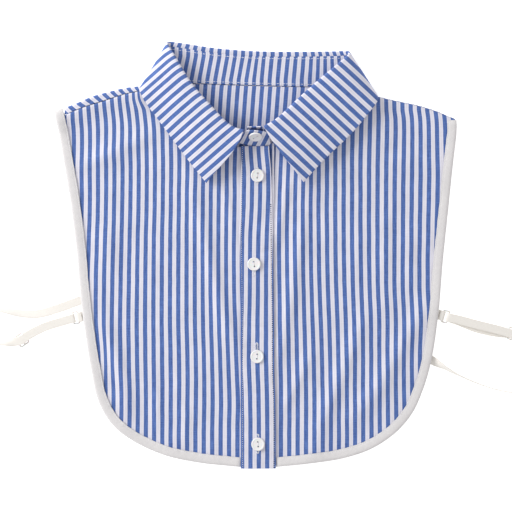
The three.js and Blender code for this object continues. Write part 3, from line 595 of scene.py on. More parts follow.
# A cloth from a grid of places on its middle, thickened to both sides
def clothPiece(name, places, flat, thickness, material, rounded=0.0):
    rows, columns = places.shape[:2]
    piece = meshObject(name, places.reshape(-1, 3), gridFaces(rows, columns), flat.reshape(-1, 2), material)
    wall = piece.modifiers.new("thickness", "SOLIDIFY")
    wall.thickness = thickness * mm
    wall.offset = 0
    wall.use_even_offset = True
    if rounded:
        edge = piece.modifiers.new("soft edge", "BEVEL")
        edge.width = rounded * mm
        edge.segments = 2
        edge.limit_method = "ANGLE"
        edge.angle_limit = math.radians(55)
    return piece


def layCloth(piece, replaced):
    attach(piece, "root")
    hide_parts(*replaced)
    return piece


# Stitches: short threads set along a line that carries the cloth's upright at each point


def makeStitchTree():
    tree = bpy.data.node_groups.new("threads along a line", "GeometryNodeTree")
    face = tree.interface
    face.new_socket("Geometry", in_out="INPUT", socket_type="NodeSocketGeometry")
    for name in ("Pitch", "Length", "Thickness", "Turn", "Unevenness", "Hole Size"):
        face.new_socket(name, in_out="INPUT", socket_type="NodeSocketFloat")
    face.new_socket("Holes", in_out="INPUT", socket_type="NodeSocketBool")
    face.new_socket("Thread", in_out="INPUT", socket_type="NodeSocketMaterial")
    face.new_socket("Hole", in_out="INPUT", socket_type="NodeSocketMaterial")
    face.new_socket("Geometry", in_out="OUTPUT", socket_type="NodeSocketGeometry")
    given = addNode(tree, "NodeGroupInput").outputs

    def made(kind, settings=None, inputs=None, output=0):
        return addNode(tree, kind, settings, inputs).outputs[output]

    def triple(x=0.0, y=0.0, z=0.0):
        return made("ShaderNodeCombineXYZ", inputs={"X": x, "Y": y, "Z": z})

    line = made("GeometryNodeMeshToCurve", inputs={"Mesh": given["Geometry"]})
    spaced = made("GeometryNodeResampleCurve", {"mode": "LENGTH"}, {"Curve": line, "Length": given["Pitch"]})
    bead = made("GeometryNodeMeshUVSphere", inputs={"Segments": 6, "Rings": 5, "Radius": 0.5})
    size = triple(given["Length"], given["Thickness"], given["Thickness"])
    stitch = made("GeometryNodeTransform", inputs={"Geometry": bead, "Scale": size})
    # A flattened bead just ahead of each stitch marks its needle hole with painted shade
    ahead = triple(maths(tree, "MULTIPLY", given["Pitch"], 0.5))
    holeDepth = maths(tree, "MULTIPLY", given["Hole Size"], 0.5)
    holeSize = triple(given["Hole Size"], given["Hole Size"], holeDepth)
    pit = made("GeometryNodeTransform", inputs={"Geometry": bead, "Translation": ahead, "Scale": holeSize})
    marking = {"Geometry": pit, "Name": "hole", "Value": True}
    marked = made("GeometryNodeStoreNamedAttribute", {"data_type": "BOOLEAN", "domain": "FACE"}, marking)
    wanted = made("GeometryNodeSwitch", {"input_type": "GEOMETRY"}, {"Switch": given["Holes"], "True": marked})
    pair = addNode(tree, "GeometryNodeJoinGeometry")
    tree.links.new(stitch, pair.inputs[0])
    tree.links.new(wanted, pair.inputs[0])
    # Each stitch lies along the line and stands on the cloth, a little askew and a little longer or shorter
    tangent = made("GeometryNodeInputTangent")
    upright = made("GeometryNodeInputNamedAttribute", {"data_type": "FLOAT_VECTOR"}, {"Name": "upright"})
    standing = made("FunctionNodeAlignRotationToVector", {"axis": "Z"}, {"Vector": upright})
    alongLine = {"Rotation": standing, "Vector": tangent}
    facing = made("FunctionNodeAlignRotationToVector", {"axis": "X", "pivot_axis": "Z"}, alongLine)
    swaying = {2: maths(tree, "MULTIPLY", given["Unevenness"], -1.0), 3: given["Unevenness"], "Seed": 5}
    sway = made("FunctionNodeRandomValue", {"data_type": "FLOAT"}, swaying, 1)
    turning = {"Rotation": facing, "Rotate By": triple(z=maths(tree, "ADD", given["Turn"], sway))}
    turned = made("FunctionNodeRotateRotation", {"rotation_space": "LOCAL"}, turning)
    stretch = made("FunctionNodeRandomValue", {"data_type": "FLOAT"}, {2: 0.86, 3: 1.08, "Seed": 9}, 1)
    placing = {"Points": spaced, "Instance": pair.outputs[0], "Rotation": turned, "Scale": stretch}
    placed = made("GeometryNodeInstanceOnPoints", inputs=placing)
    real = made("GeometryNodeRealizeInstances", inputs={"Geometry": placed})
    smoothed = made("GeometryNodeSetShadeSmooth", inputs={"Geometry": real})
    threaded = made("GeometryNodeSetMaterial", inputs={"Geometry": smoothed, "Material": given["Thread"]})
    # The hole beads take the dark material: painted shade of the needle holes
    isHoleShade = made("GeometryNodeInputNamedAttribute", {"data_type": "BOOLEAN"}, {"Name": "hole"})
    holed = {"Geometry": threaded, "Selection": isHoleShade, "Material": given["Hole"]}
    addNode(tree, "NodeGroupOutput", inputs={"Geometry": made("GeometryNodeSetMaterial", inputs=holed)})
    return tree


stitchTree = makeStitchTree()

stitchLengths = ("Pitch", "Length", "Thickness", "Hole Size")  # in millimetres, the others aren't lengths
# Holes puts a dark mark of painted shade at each needle hole, Hole Size sets how big
topStitch = {
    "Pitch": 1.8,
    "Length": 1.3,
    "Thickness": 0.42,
    "Turn": 0.0,
    "Unevenness": 0.06,
    "Holes": True,
    "Hole Size": 0.6,
}
# Beside the gap its needle-hole marks are wide: painted shade that darkens the line along the gap
edgeStitch = {**topStitch, "Length": 1.0, "Hole Size": 1.2}
hemStitch = {**topStitch, "Pitch": 2.0, "Length": 1.8, "Thickness": 0.36, "Holes": False}
seamStitch = {**topStitch, "Pitch": 2.6, "Length": 2.55, "Thickness": 0.5, "Unevenness": 0.04, "Holes": False}
satinStitch = {**topStitch, "Pitch": 0.55, "Length": 1.6, "Turn": 90.0, "Unevenness": 0.16, "Holes": False}


# Threads along lines; each line is its places and the cloth's upright there, in millimetres
def threads(name, lines, stitch):
    vertices, edges, uprights = [], [], []
    for places, upright in lines:
        first = len(vertices)
        vertices += [tuple(p * mm) for p in places]
        edges += [(first + i, first + i + 1) for i in range(len(places) - 1)]
        uprights.append(np.broadcast_to(upright, places.shape))
    mesh = bpy.data.meshes.new(name + " line")
    mesh.from_pydata(vertices, edges, [])
    upright = mesh.attributes.new("upright", "FLOAT_VECTOR", "POINT")
    upright.data.foreach_set("vector", np.vstack(uprights).ravel())
    guide = bpy.data.objects.new(name + " line", mesh)
    scene.collection.objects.link(guide)
    modifier = guide.modifiers.new("stitches", "NODES")
    modifier.node_group = stitchTree
    values = {**stitch, **{key: stitch[key] * mm for key in stitchLengths}}
    values.update({"Turn": math.radians(stitch["Turn"]), "Thread": thread, "Hole": paintedHoleShade})
    for item in stitchTree.interface.items_tree:
        if item.in_out == "INPUT" and item.name in values:
            modifier[item.identifier] = values[item.name]
    evaluated = guide.evaluated_get(bpy.context.evaluated_depsgraph_get())
    made = bpy.data.meshes.new_from_object(evaluated)
    bpy.data.objects.remove(guide)
    piece = bpy.data.objects.new(name, made)
    scene.collection.objects.link(piece)
    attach(piece, "root")
    return piece


# Uprights of a grid of places, from its rows and columns
def uprightsOf(places):
    east = np.gradient(places, axis=1)
    north = np.gradient(places, axis=0)
    normal = np.cross(east, north)
    return normal / np.linalg.norm(normal, axis=-1)[..., None]


# Where the blue stripes of a panel lie in the plan, and so how far across the stripes each place is


def acrossStripes(table, x, y):
    rowsY = np.array([row["y"] for row in table])
    numbers = [key for key in table[0] if key != "y"]
    fine = np.linspace(rowsY.min(), rowsY.max(), 200)
    lines = []
    for number in numbers:
        line = SmoothLine([(row["y"], row[number]) for row in table]).dense
        order = np.argsort(line[:, 0])
        lines.append(np.interp(fine, line[order, 0], line[order, 1]))
    lines = np.array(lines)
    at = np.array([np.interp(y, fine, line) for line in lines])
    count = np.zeros(np.shape(x))
    for k in range(len(numbers) - 1):
        share = (x - at[k]) / (at[k + 1] - at[k])
        after = share >= 0 if k > 0 else share > -1e9
        before = share < 1 if k + 2 < len(numbers) else share < 1e9
        inside = after & before
        count = np.where(inside, numbers[k] + share * (numbers[k + 1] - numbers[k]), count)
    return count


leftStripes = [
    {"y": 135.2, 0: -18.0, 5: -54.0, 10: -91.9, 15: -124.6, 17: -138.6},
    {"y": 126.5, 0: -18.0, 5: -53.5, 10: -90.1, 15: -124.0, 17: -137.9},
    {"y": 117.8, 0: -18.0, 5: -53.0, 10: -89.0, 15: -123.1, 17: -137.3},
    {"y": 109.2, 0: -18.0, 5: -52.5, 10: -88.2, 15: -122.8, 17: -136.9},
    {"y": 91.8, 0: -18.0, 5: -52.3, 10: -87.7, 15: -123.0, 17: -136.9},
    {"y": 74.5, 0: -18.5, 5: -52.3, 10: -87.5, 15: -122.7, 17: -136.9},
    {"y": 48.5, 0: -18.5, 5: -52.9, 10: -87.7, 15: -122.9, 17: -136.9},
    {"y": 13.9, 0: -19.1, 5: -53.0, 10: -88.5, 15: -123.5, 17: -137.7},
    {"y": -20.8, 0: -19.1, 5: -53.0, 10: -88.8, 15: -124.4, 17: -138.7},
    {"y": -55.5, 0: -18.2, 5: -53.0, 10: -88.9, 15: -124.9, 17: -138.6},
    {"y": -90.1, 0: -17.1, 5: -52.1, 10: -88.6, 15: -124.5, 17: -136.0},
    {"y": -124.8, 0: -15.7, 5: -52.1, 10: -88.4, 15: -123.3, 17: -137.5},
    {"y": -150.8, 0: -16.1, 5: -52.5, 10: -88.3, 15: -124.1, 17: -138.2},
]
rightStripes = [
    {"y": 126.5, 0: 21.4, 5: 54.0, 10: 91.4, 15: 127.0, 19: 155.6},
    {"y": 117.8, 0: 21.4, 5: 54.0, 10: 91.1, 15: 128.1, 19: 156.6},
    {"y": 91.8, 0: 21.9, 5: 53.7, 10: 90.5, 15: 128.1, 19: 157.1},
    {"y": 74.5, 0: 21.3, 5: 54.1, 10: 90.3, 15: 127.8, 19: 157.4},
    {"y": 48.5, 0: 20.4, 5: 54.0, 10: 90.5, 15: 127.5, 19: 157.2},
    {"y": 13.9, 0: 19.9, 5: 54.3, 10: 90.5, 15: 127.3, 19: 156.3},
    {"y": -20.8, 0: 20.3, 5: 54.8, 10: 91.1, 15: 127.1, 19: 156.0},
    {"y": -55.5, 0: 20.7, 5: 56.1, 10: 92.2, 15: 128.3, 19: 157.1},
    {"y": -90.1, 0: 21.2, 5: 57.2, 10: 92.7, 15: 127.9, 19: 156.0},
    {"y": -124.8, 0: 21.7, 5: 57.9, 10: 92.7, 15: 128.4, 19: 157.0},
    {"y": -150.8, 0: 21.6, 5: 57.8, 10: 92.9, 15: 129.0, 19: 157.8},
]
placketStripes = [
    {"y": 91.8, 0: -11.4, 1: -4.6, 3: 9.0},
    {"y": 84.0, 0: -11.0, 1: -4.2, 3: 9.6},
    {"y": 74.5, 0: -10.3, 1: -3.5, 3: 10.5},
    {"y": 48.5, 0: -10.5, 1: -3.6, 3: 10.4},
    {"y": 13.9, 0: -11.9, 1: -5.1, 3: 9.2},
    {"y": -20.8, 0: -12.0, 1: -5.3, 3: 8.7},
    {"y": -55.5, 0: -12.5, 1: -5.9, 3: 8.7},
    {"y": -90.1, 0: -13.1, 1: -6.3, 3: 8.7},
    {"y": -124.8, 0: -12.2, 1: -5.1, 3: 9.5},
    {"y": -150.8, 0: -11.9, 1: -4.8, 3: 9.7},
]
# On the inside of the stand, from its top to the neck seam; the back panel's stripes go on below them
standStripes = [
    {"y": 173.6, 0: -65.5, 3: -45.3, 6: -24.7, 9: -4.6, 11: 6.7, 14: 27.8, 17: 48.2, 20: 65.9},
    {"y": 152.8, 0: -70.0, 3: -49.3, 6: -28.6, 9: -8.4, 11: 4.9, 14: 25.8, 17: 46.7, 20: 66.5},
]
# The wings are cut so that their stripes run straight over them, square to a line at this angle
wingStripes = {
    "left": {"angle": -50.0, "repeat": 6.79, "start": 25.28, "closer": 0.14, "bent": 0.3},
    "right": {"angle": -132.2, "repeat": 7.56, "start": 22.59, "closer": 0.0},
}
backStripes = {"repeat": 7.05, "lean": 0.079, "place": (-8.7, 145.9)}


alongStart = 250.0  # keeps the flat places along the stripes above nought

# Beside the outer corner of the left wing the panel's stripes are pulled together towards the shoulder
cornerPull = {"x": -94.0, "width": 8.5, "reach": 6.5, "from": 126.0, "rise": 15.0}


# The flat cut of a panel that lies nearly flat: across the stripes from their count, along them from the plan
def panelFlat(places, stripes):
    x, y = places[..., 0], places[..., 1]
    pull = cornerPull["reach"] * np.exp(-(((x - cornerPull["x"]) / cornerPull["width"]) ** 2))
    pull = pull * smooth((y - cornerPull["from"]) / cornerPull["rise"])
    across = (acrossStripes(stripes, x + pull, y) + 0.5) * shirting["repeat"]
    return np.stack([across, y + alongStart], -1)


# Front panels

panel = {
    "columns": 110,
    "rows": 150,
    "thickness": 0.6,
    "hem": -180.8,
    "leftInner": -10.4,
    "rightInner": 14.7,
    "inset": 1.3,
    "corner": 0.6,  # share of the edge where the side ends and the hem begins
    "hemEnd": 0.998,
    "searched": 0.1,  # share of the edge in which the shoulder's corner lies
}
cornerEase = 8  # how late along a side its line bends to meet the corner


def frontPanel(edge, side, shoulder, neckline, innerX):
    shoulderLine, neckLine = SmoothLine(shoulder), SmoothLine(neckline)

    def top(s):
        onShoulder = shoulderLine.along(np.minimum(2 * s, 1))
        onNeck = neckLine.along(np.maximum(2 * s - 1, 0))
        return np.where((s <= 0.5)[:, None], onShoulder, onNeck)

    hemCorner = np.array([innerX, panel["hem"]])
    topCorner = np.array(shoulder[0])
    shares = np.linspace(0, panel["searched"], 200)
    nearest = np.argmin(np.linalg.norm(insetPlace(edge, shares, panel["inset"], side) - topCorner, axis=1))
    first = shares[nearest]

    def left(t):
        place = insetPlace(edge, first + (panel["corner"] - first) * (1 - t), panel["inset"], side)
        return place + (topCorner - place[-1]) * t[:, None] ** cornerEase

    def bottom(s):
        onHem = panel["corner"] + (panel["hemEnd"] - panel["corner"]) * s
        place = insetPlace(edge, onHem, panel["inset"], side)
        return place + (hemCorner - place[-1]) * s[:, None] ** cornerEase

    def right(t):
        return hemCorner + (np.array(neckline[-1]) - hemCorner) * t[:, None]

    sides = {"top": top, "left": left, "bottom": bottom, "right": right}
    plan = patch(sides, panel["columns"], panel["rows"])
    places = lifted(plan, frontUnderside, cloth / 2)
    return places if side > 0 else places[:, ::-1]


leftPlan = (leftFrontEdge, 1, leftShoulderSeam, leftNeckline, panel["leftInner"])
rightPlan = (rightFrontEdge, -1, rightShoulderFold, rightNeckline, panel["rightInner"])
for name, node, plan, stripes in (
    ("frontPanelLeft", "front_panel_left", leftPlan, leftStripes),
    ("frontPanelRight", "front_panel_right", rightPlan, rightStripes),
):
    places = frontPanel(*plan)
    flat = panelFlat(places, stripes)
    piece = clothPiece(name, places, flat, panel["thickness"], poplin)
    layCloth(piece, [node])
print("front panels laid")

# Placket and the button band under it

placket = {
    # Each edge's places from the hem up: y, x
    "left": [
        (-184.0, -13.0), (-60.0, -13.2), (0.0, -13.8), (18.0, -14.2), (48.0, -13.8), (75.0, -13.3),
        (94.0, -12.9),
    ],
    "right": [
        (-184.0, 17.1), (-150.0, 17.1), (-125.0, 16.8), (-102.0, 15.8), (-60.0, 15.6), (14.0, 14.7),
        (48.0, 14.1), (66.0, 13.5), (76.0, 12.9), (86.0, 11.9), (95.0, 11.3),
    ],
    "top": 94.8,
    "hem": -184.0,
    "thickness": 1.3,
    "stitchInset": 1.3,
    "edgeStitchTop": 44.0,
    "groove": 0.22,
    "grooveWidth": 0.6,
    "pucker": 0.09,
    "puckerReach": 3.0,
    "puckerLength": 8.5,
    "gape": 1.8,  # the upper right edge stands off the band under it
    "gapeFrom": (3, 60),  # x, y
    "gapeOver": (9, 26),
    "columns": 40,
    "rows": 300,
}
placketMiddle = layer + 0.7  # over the front's underside
underPlacket = {
    "left": [(-181.6, -10.0), (97.4, -10.0)],
    "right": [(-181.6, 13.8), (0.0, 13.8), (22.0, 14.6), (50.0, 15.5), (97.4, 15.8)],
    "top": 97.4,
    "hem": -181.6,
    "thickness": 0.8,
    "blueAt": 12.2,  # middle of the blue stripe that shows in the gap
    "lift": 1.2,  # of its right edge
    "liftFrom": (13.2, 5),  # x, y
    "liftOver": (1.4, 25),
    "columns": 16,
    "rows": 200,
}


def stripPlan(sizes):
    t = np.linspace(0, 1, sizes["rows"] + 1)[:, None]
    s = np.linspace(0, 1, sizes["columns"] + 1)[None]
    y = sizes["hem"] + (sizes["top"] - sizes["hem"]) * t + 0 * s
    left, right = (np.interp(y, *zip(*sizes[side])) for side in ("left", "right"))
    return np.stack([left + (right - left) * s, y], -1), left, right


# Rises from nought at one place, x and y, to its full height further right and up
def corner(x, y, height, start, over):
    return height * smooth((y - start[1]) / over[1]) * smooth((x - start[0]) / over[0])


def makePlacket():
    plan, left, right = stripPlan(placket)
    x, y = plan[..., 0], plan[..., 1]
    places = lifted(plan, frontUnderside, placketMiddle)
    fromStitches = np.minimum(x - left, right - x) - placket["stitchInset"]
    groove = np.exp(-((fromStitches / placket["grooveWidth"]) ** 2))
    wave = np.sin(y * 2 * math.pi / placket["puckerLength"] + 1.3 * np.sin(y / 17))
    pucker = np.exp(-((fromStitches / placket["puckerReach"]) ** 2)) * wave
    places[..., 2] += -placket["groove"] * groove + placket["pucker"] * pucker
    places[..., 2] += corner(x, y, placket["gape"], placket["gapeFrom"], placket["gapeOver"])
    flat = panelFlat(places, placketStripes)
    piece = clothPiece("buttonPlacket", places, flat, placket["thickness"], poplin, rounded=0.35)
    upright = uprightsOf(places)
    lines = []
    for inset in (placket["stitchInset"], right[0, -1] - left[0, 0] - placket["stitchInset"]):
        column = np.argmin(np.abs(plan[0, :, 0] - left[0, 0] - inset))
        ways = upright[:, column]
        lines.append((places[:, column] + ways * (placket["thickness"] / 2 + 0.03), ways))
    stitches = threads("placketTopstitch", lines[:1], topStitch)
    edgePlaces, edgeUprights = lines[1]
    below = edgePlaces[:, 1] < placket["edgeStitchTop"]
    edgeStitches = threads("placketEdgeStitch", [(edgePlaces[below], edgeUprights[below])], edgeStitch)
    layCloth(piece, ["button_placket"])


def makeUnderPlacket():
    places = lifted(stripPlan(underPlacket)[0], frontUnderside, cloth / 2)
    x, y = places[..., 0], places[..., 1]
    places[..., 2] += corner(x, y, underPlacket["lift"], underPlacket["liftFrom"], underPlacket["liftOver"])
    flat = np.stack([x - underPlacket["blueAt"] + shirting["repeat"] / 2, y + alongStart], -1)
    piece = clothPiece("underPlacket", places, flat, underPlacket["thickness"], poplin, rounded=0.25)
    layCloth(piece, ["under_placket"])


makePlacket()
makeUnderPlacket()
print("placket laid")


# Height of the placket's upper face over a place, from its own surface
def placketTop(x, y):
    return float(frontUnderside(np.array(x), np.array(y))) + placketMiddle + placket["thickness"] / 2


# Buttonholes: each a close loop of satin stitches

buttonholes = [
    {"x": 1.0, "y": 69.2, "length": 14.5},
    {"x": -1.6, "y": -9.6, "length": 15.0},
    {"x": 0.6, "y": -82.6, "length": 15.0},
    {"x": 1.4, "y": -162.4, "length": 16.5},
]
buttonholeWidth = 2.4


def buttonholeLine(hole):
    half = hole["length"] / 2
    radius = buttonholeWidth / 2 - 0.35  # the satin stitches' middle
    turn = np.linspace(0, math.pi, 9)
    upper = np.stack([radius * np.cos(turn), half - radius + radius * np.sin(turn)], -1)
    loop = np.vstack([upper, -upper, upper[:1]])
    plan = loop + (hole["x"], hole["y"])
    places = lifted(plan, frontUnderside, placketMiddle + placket["thickness"] / 2 + 0.1)
    return places, np.array([0.0, 0.0, 1.0])


threads("buttonholeStitches", [buttonholeLine(hole) for hole in buttonholes], satinStitch)


# Bindings: strips folded round the cloth's edge, stitched down near their inner edge

binding = {
    "width": 8.3,
    "thickness": 0.45,
    "stitchInset": 7.2,  # from the outer fold
    "pucker": 0.14,
    "puckerReach": 2.2,
    "puckerLengths": (5.6, 7.9),
    "edgeWave": 0.07,
    "waveLengths": (9.0, 14.5, 31.0),
    "step": 1.6,
    "pressedEnd": 3.2,  # how much of each end is pressed flat
    "pressed": 0.2,  # of its height there
    "middle": 0.6,  # of the fold, over the cloth's underside
    "crossFrom": 0.47,  # where the back's binding passes from the left edge to the right
    "crossOver": 0.06,
}
# Across the binding from its upper inner edge round the fold to its lower inner edge:
# inwards, above the underside
bindingProfile = SmoothLine([
    (8.3, 1.62), (7.9, 1.68), (7.2, 1.48), (6.4, 1.75), (4.5, 1.95), (2.2, 2.0), (0.9, 1.7), (0.25, 1.1),
    (0.22, 0.3), (0.4, -0.35), (1.1, -0.75), (3.5, -0.85), (6.0, -0.8), (8.3, -0.8),
])


# Length of a line of places up to each of them
def runAlong(places):
    return np.concatenate([[0], np.cumsum(np.linalg.norm(np.diff(places, axis=0), axis=1))])


def makeBinding(name, node, placeAt, underside, first, last, length, seed):
    steps = int(length / binding["step"])
    shares = first + (last - first) * np.linspace(0, 1, steps + 1)
    profile = bindingProfile.along(np.linspace(0, 1, 30))
    run = runAlong(profile)
    distance = np.linspace(0, length, steps + 1)
    random = np.random.RandomState(seed)

    def wave(lengths, height):
        return sum(height * np.sin(distance * 2 * math.pi / w + random.uniform(0, 6)) for w in lengths)

    edgeWave = wave(binding["waveLengths"], binding["edgeWave"])
    pucker = wave(binding["puckerLengths"], 1) * binding["pucker"] / 2
    fromEnd = smooth(np.minimum(distance, length - distance) / binding["pressedEnd"])
    openness = binding["pressed"] + (1 - binding["pressed"]) * fromEnd
    columns = []
    for inwards, above in profile:
        fromStitch = (inwards - binding["stitchInset"]) / binding["puckerReach"]
        nearStitch = math.exp(-(fromStitch**2)) if above > 1 else 0.0
        plan = placeAt(shares, inwards + edgeWave * (inwards / binding["width"]))
        column = lifted(plan, underside, binding["middle"] + (above - binding["middle"]) * openness)
        column[:, 2] += pucker * nearStitch
        columns.append(column)
    places = np.stack(columns, 1)
    flat = np.stack(np.broadcast_arrays(run[None, :], distance[:, None]), -1)
    piece = clothPiece(name, places, flat, binding["thickness"], biasCotton)
    piece.modifiers["thickness"].use_even_offset = False
    column = int(np.argmin(np.abs(profile[:15, 0] - binding["stitchInset"])))
    upright = np.array([0.0, 0.0, 1.0])
    line = places[3:-3, column] + upright * (binding["thickness"] / 2 + 0.04)
    stitches = threads(name + "Stitches", [(line, upright)], hemStitch)
    layCloth(piece, [node])


def backBindingPlace(share, inwards):
    left = backEdgePlace(leftFrontEdge, np.minimum(1, 2 * share), 1, inwards)
    right = backEdgePlace(rightFrontEdge, np.minimum(1, 2 - 2 * share), -1, inwards)
    return left + (right - left) * smooth((share - binding["crossFrom"]) / binding["crossOver"])[:, None]


def leftBindingPlace(share, inwards):
    return insetPlace(leftFrontEdge, share, inwards, 1)


def rightBindingPlace(share, inwards):
    return insetPlace(rightFrontEdge, share, inwards, -1)


leftLength, rightLength = leftFrontEdge.run[-1], rightFrontEdge.run[-1]
backLength = 0.93 * (leftLength + rightLength)  # its edge lies inside theirs
for name, node, placeAt, underside, first, last, length, seed in (
    ("bindingFrontLeft", "binding_front_left", leftBindingPlace, frontUnderside, 0, 0.9985, leftLength, 1),
    ("bindingFrontRight", "binding_front_right", rightBindingPlace, frontUnderside, 0.004, 1.0, rightLength, 2),
    ("bindingBack", "binding_back", backBindingPlace, backUnderside, 0.02, 0.98, backLength, 3),
):
    makeBinding(name, node, placeAt, underside, first, last, length, seed)
print("bindings folded")

# Back panel, carried over the left shoulder to the forward seam

back = {
    "columns": 160,
    "rows": 110,
    "wrapRows": 16,
    "turnRows": 10,  # of them, those that go round the fold
    "rowGap": 0.04,  # between the rows that stay in place beside the shoulder
    "thickness": 0.6,
    "corner": 0.62,
    "crossFrom": 0.46,  # where its lower edge passes from the left front's to the right front's
    "crossOver": 0.08,
    "shoulderShare": 0.25,
    "rightEnd": (163.6, 122.4),
    "tuck": 2.4,
    "turn": 1.9,
    "seamGap": 0.5,
    "slant": -0.06,  # stripes that the turned-over strip gains for each millimetre
    "shoulderShift": -0.5,
    "shiftOver": 0.05,
    "pressed": 0.25,  # how much of the fold's height its cloth really has, since it is pressed flat
}


def makeBackPanel():
    share = back["shoulderShare"]
    shoulderLeft = SmoothLine(leftShoulderFold)
    shoulderRight = SmoothLine(rightShoulderFold[:0:-1] + [back["rightEnd"]])
    neck = SmoothLine(backNeckline)

    def top(s):
        onLeft = shoulderLeft.along(s / share)
        onNeck = neck.along((s - share) / (1 - 2 * share))
        onRight = shoulderRight.along((s - 1 + share) / share)
        return np.where((s <= share)[:, None], onLeft, np.where((s <= 1 - share)[:, None], onNeck, onRight))

    def side(line, way, corner):
        first = backEdgePlace(line, 0.0, way, panel["inset"])[0]

        def places(t):
            place = backEdgePlace(line, back["corner"] * (1 - t), way, panel["inset"])
            return place + (corner - first) * t[:, None] ** cornerEase

        return places

    def bottom(s):
        onLeft, onRight = (back["corner"] + (1 - back["corner"]) * way for way in (2 * s, 2 - 2 * s))
        left = backEdgePlace(leftFrontEdge, np.minimum(1, onLeft), 1, panel["inset"])
        right = backEdgePlace(rightFrontEdge, np.minimum(1, onRight), -1, panel["inset"])
        return left + (right - left) * smooth((s - back["crossFrom"]) / back["crossOver"])[:, None]

    ends = top(np.array([0.0, 1.0]))
    sides = {
        "top": top,
        "bottom": bottom,
        "left": side(leftFrontEdge, 1, ends[0]),
        "right": side(rightFrontEdge, -1, ends[1]),
    }
    plan = patch(sides, back["columns"], back["rows"])
    s = np.linspace(0, 1, back["columns"] + 1)
    t = np.linspace(0, 1, back["rows"] + 1)
    way = shoulderLeft.heading(np.minimum(1, s / share))
    aside = np.stack([-way[:, 1], way[:, 0]], -1)
    onShoulder = s <= share
    plan += -back["tuck"] * (t**3)[:, None, None] * aside[None] * onShoulder[None, :, None]
    places = lifted(plan, backUnderside, cloth / 2)
    flat = plan.copy()
    rows, flats = [places], [flat]
    slant = [np.zeros(plan.shape[:2])]
    seam = SmoothLine(leftShoulderSeam[1:]).along(np.minimum(1, s / share))
    last, lastFlat = places[-1], flat[-1]
    highest = frontUnderside(last[:, 0], last[:, 1]) + cloth / 2
    rise = highest - last[:, 2]
    turnRows = back["turnRows"]
    for k in range(1, back["wrapRows"] + 1):
        turn = math.pi * min(k, turnRows) / turnRows
        row = last.copy()
        row[:, :2] += aside * back["turn"] * math.sin(turn)
        row[:, 2] += rise / 2 * (1 - math.cos(turn))
        run = rise / 2 * turn * back["pressed"]
        if k > turnRows:
            onward = (k - turnRows) / (back["wrapRows"] - turnRows)
            end = seam + aside * back["seamGap"]
            run = run + np.linalg.norm(end - row[:, :2], axis=1) * onward
            row[:, :2] += (end - row[:, :2]) * onward
        still = last + np.array([0, back["rowGap"] * k, 0])
        row = np.where(onShoulder[:, None], row, still)
        onward = np.where(onShoulder[:, None], aside * run[:, None], np.array([[0, back["rowGap"] * k]]))
        flatRow = lastFlat + onward
        rows.append(row[None])
        flats.append(flatRow[None])
        slant.append(np.where(onShoulder, back["slant"] * run, 0)[None])
    places, flat, slant = np.vstack(rows), np.vstack(flats), np.vstack(slant)
    middle = backStripes["place"]
    across = flat[..., 0] - middle[0] - backStripes["lean"] * (flat[..., 1] - middle[1])
    count = across / backStripes["repeat"]
    count = count + back["shoulderShift"] * smooth((share - s) / back["shiftOver"])[None]
    flat = np.stack([(count + slant + 0.5) * shirting["repeat"], flat[..., 1] + alongStart], -1)
    piece = clothPiece("backPanel", places, flat, back["thickness"], poplin)
    layCloth(piece, ["back_panel"])


makeBackPanel()
print("back panel laid")

# Collar: stand and leaf run through the same stations, from the left front round the back to the right front:
# the stand's seam on the panels, the fold over the top of the stand, and the leaf's outer edge

collar = {
    "foldRadius": 1.35,
    "wingFoldRadius": 2.0,
    "creaseTighter": 0.75,  # the fold is pressed sharp where it turns over itself
    "leg": 3.2,  # the leaf's inner edge below the fold, in the wings
    "backLeg": 2.7,
    "flatBelow": 6.0,  # height of the fold up to which the collar lies flat
    "standsOver": 8.0,  # and what it rises by until the collar stands up
    "bulge": 1.6,
    "bulgeFrom": 8.0,
    "bulgeOver": 8.0,
    "creases": (6, 14),  # stations
    "creaseWidth": 1.3,
    "leftLift": 4.0,  # of the wings' outer edges
    "leftLiftFrom": 5.5,
    "rightLift": 8.2,
    "rightLiftFrom": 14.5,
    "liftOver": 1.5,
    "leafThickness": 0.8,
    "columns": 300,
    "foldSteps": 10,
    "leafSteps": 26,
}
stand = {
    "thickness": 0.8,
    "endDrop": 1.0,
    "perStation": 14,
    "rows": 15,
    "endCorner": 2.6,  # how far the rounded corner at either end comes down
    "cornerRun": 3.2,
    "stationRun": 12,  # from one station to the next at its ends
    "hollow": 7.0,  # of the end that lies under
    "hollowFrom": 2.2,  # stations before its end
    "hollowOver": 0.6,
    "hollowTop": 0.95,  # shares of its height
    "hollowTopBlend": 0.1,
    "hollowFoot": 0.2,
    "hollowFootBlend": 0.3,
    "paintedShadeBlue": 0.8,  # the hollow is pulled onto the blue of its stripes, painted shade for the dark gap between the ends
    "stitchRows": (13, 1),  # just under the leaf's seam and just over the neck seam
    "unstitched": 8,  # stations at either end
}
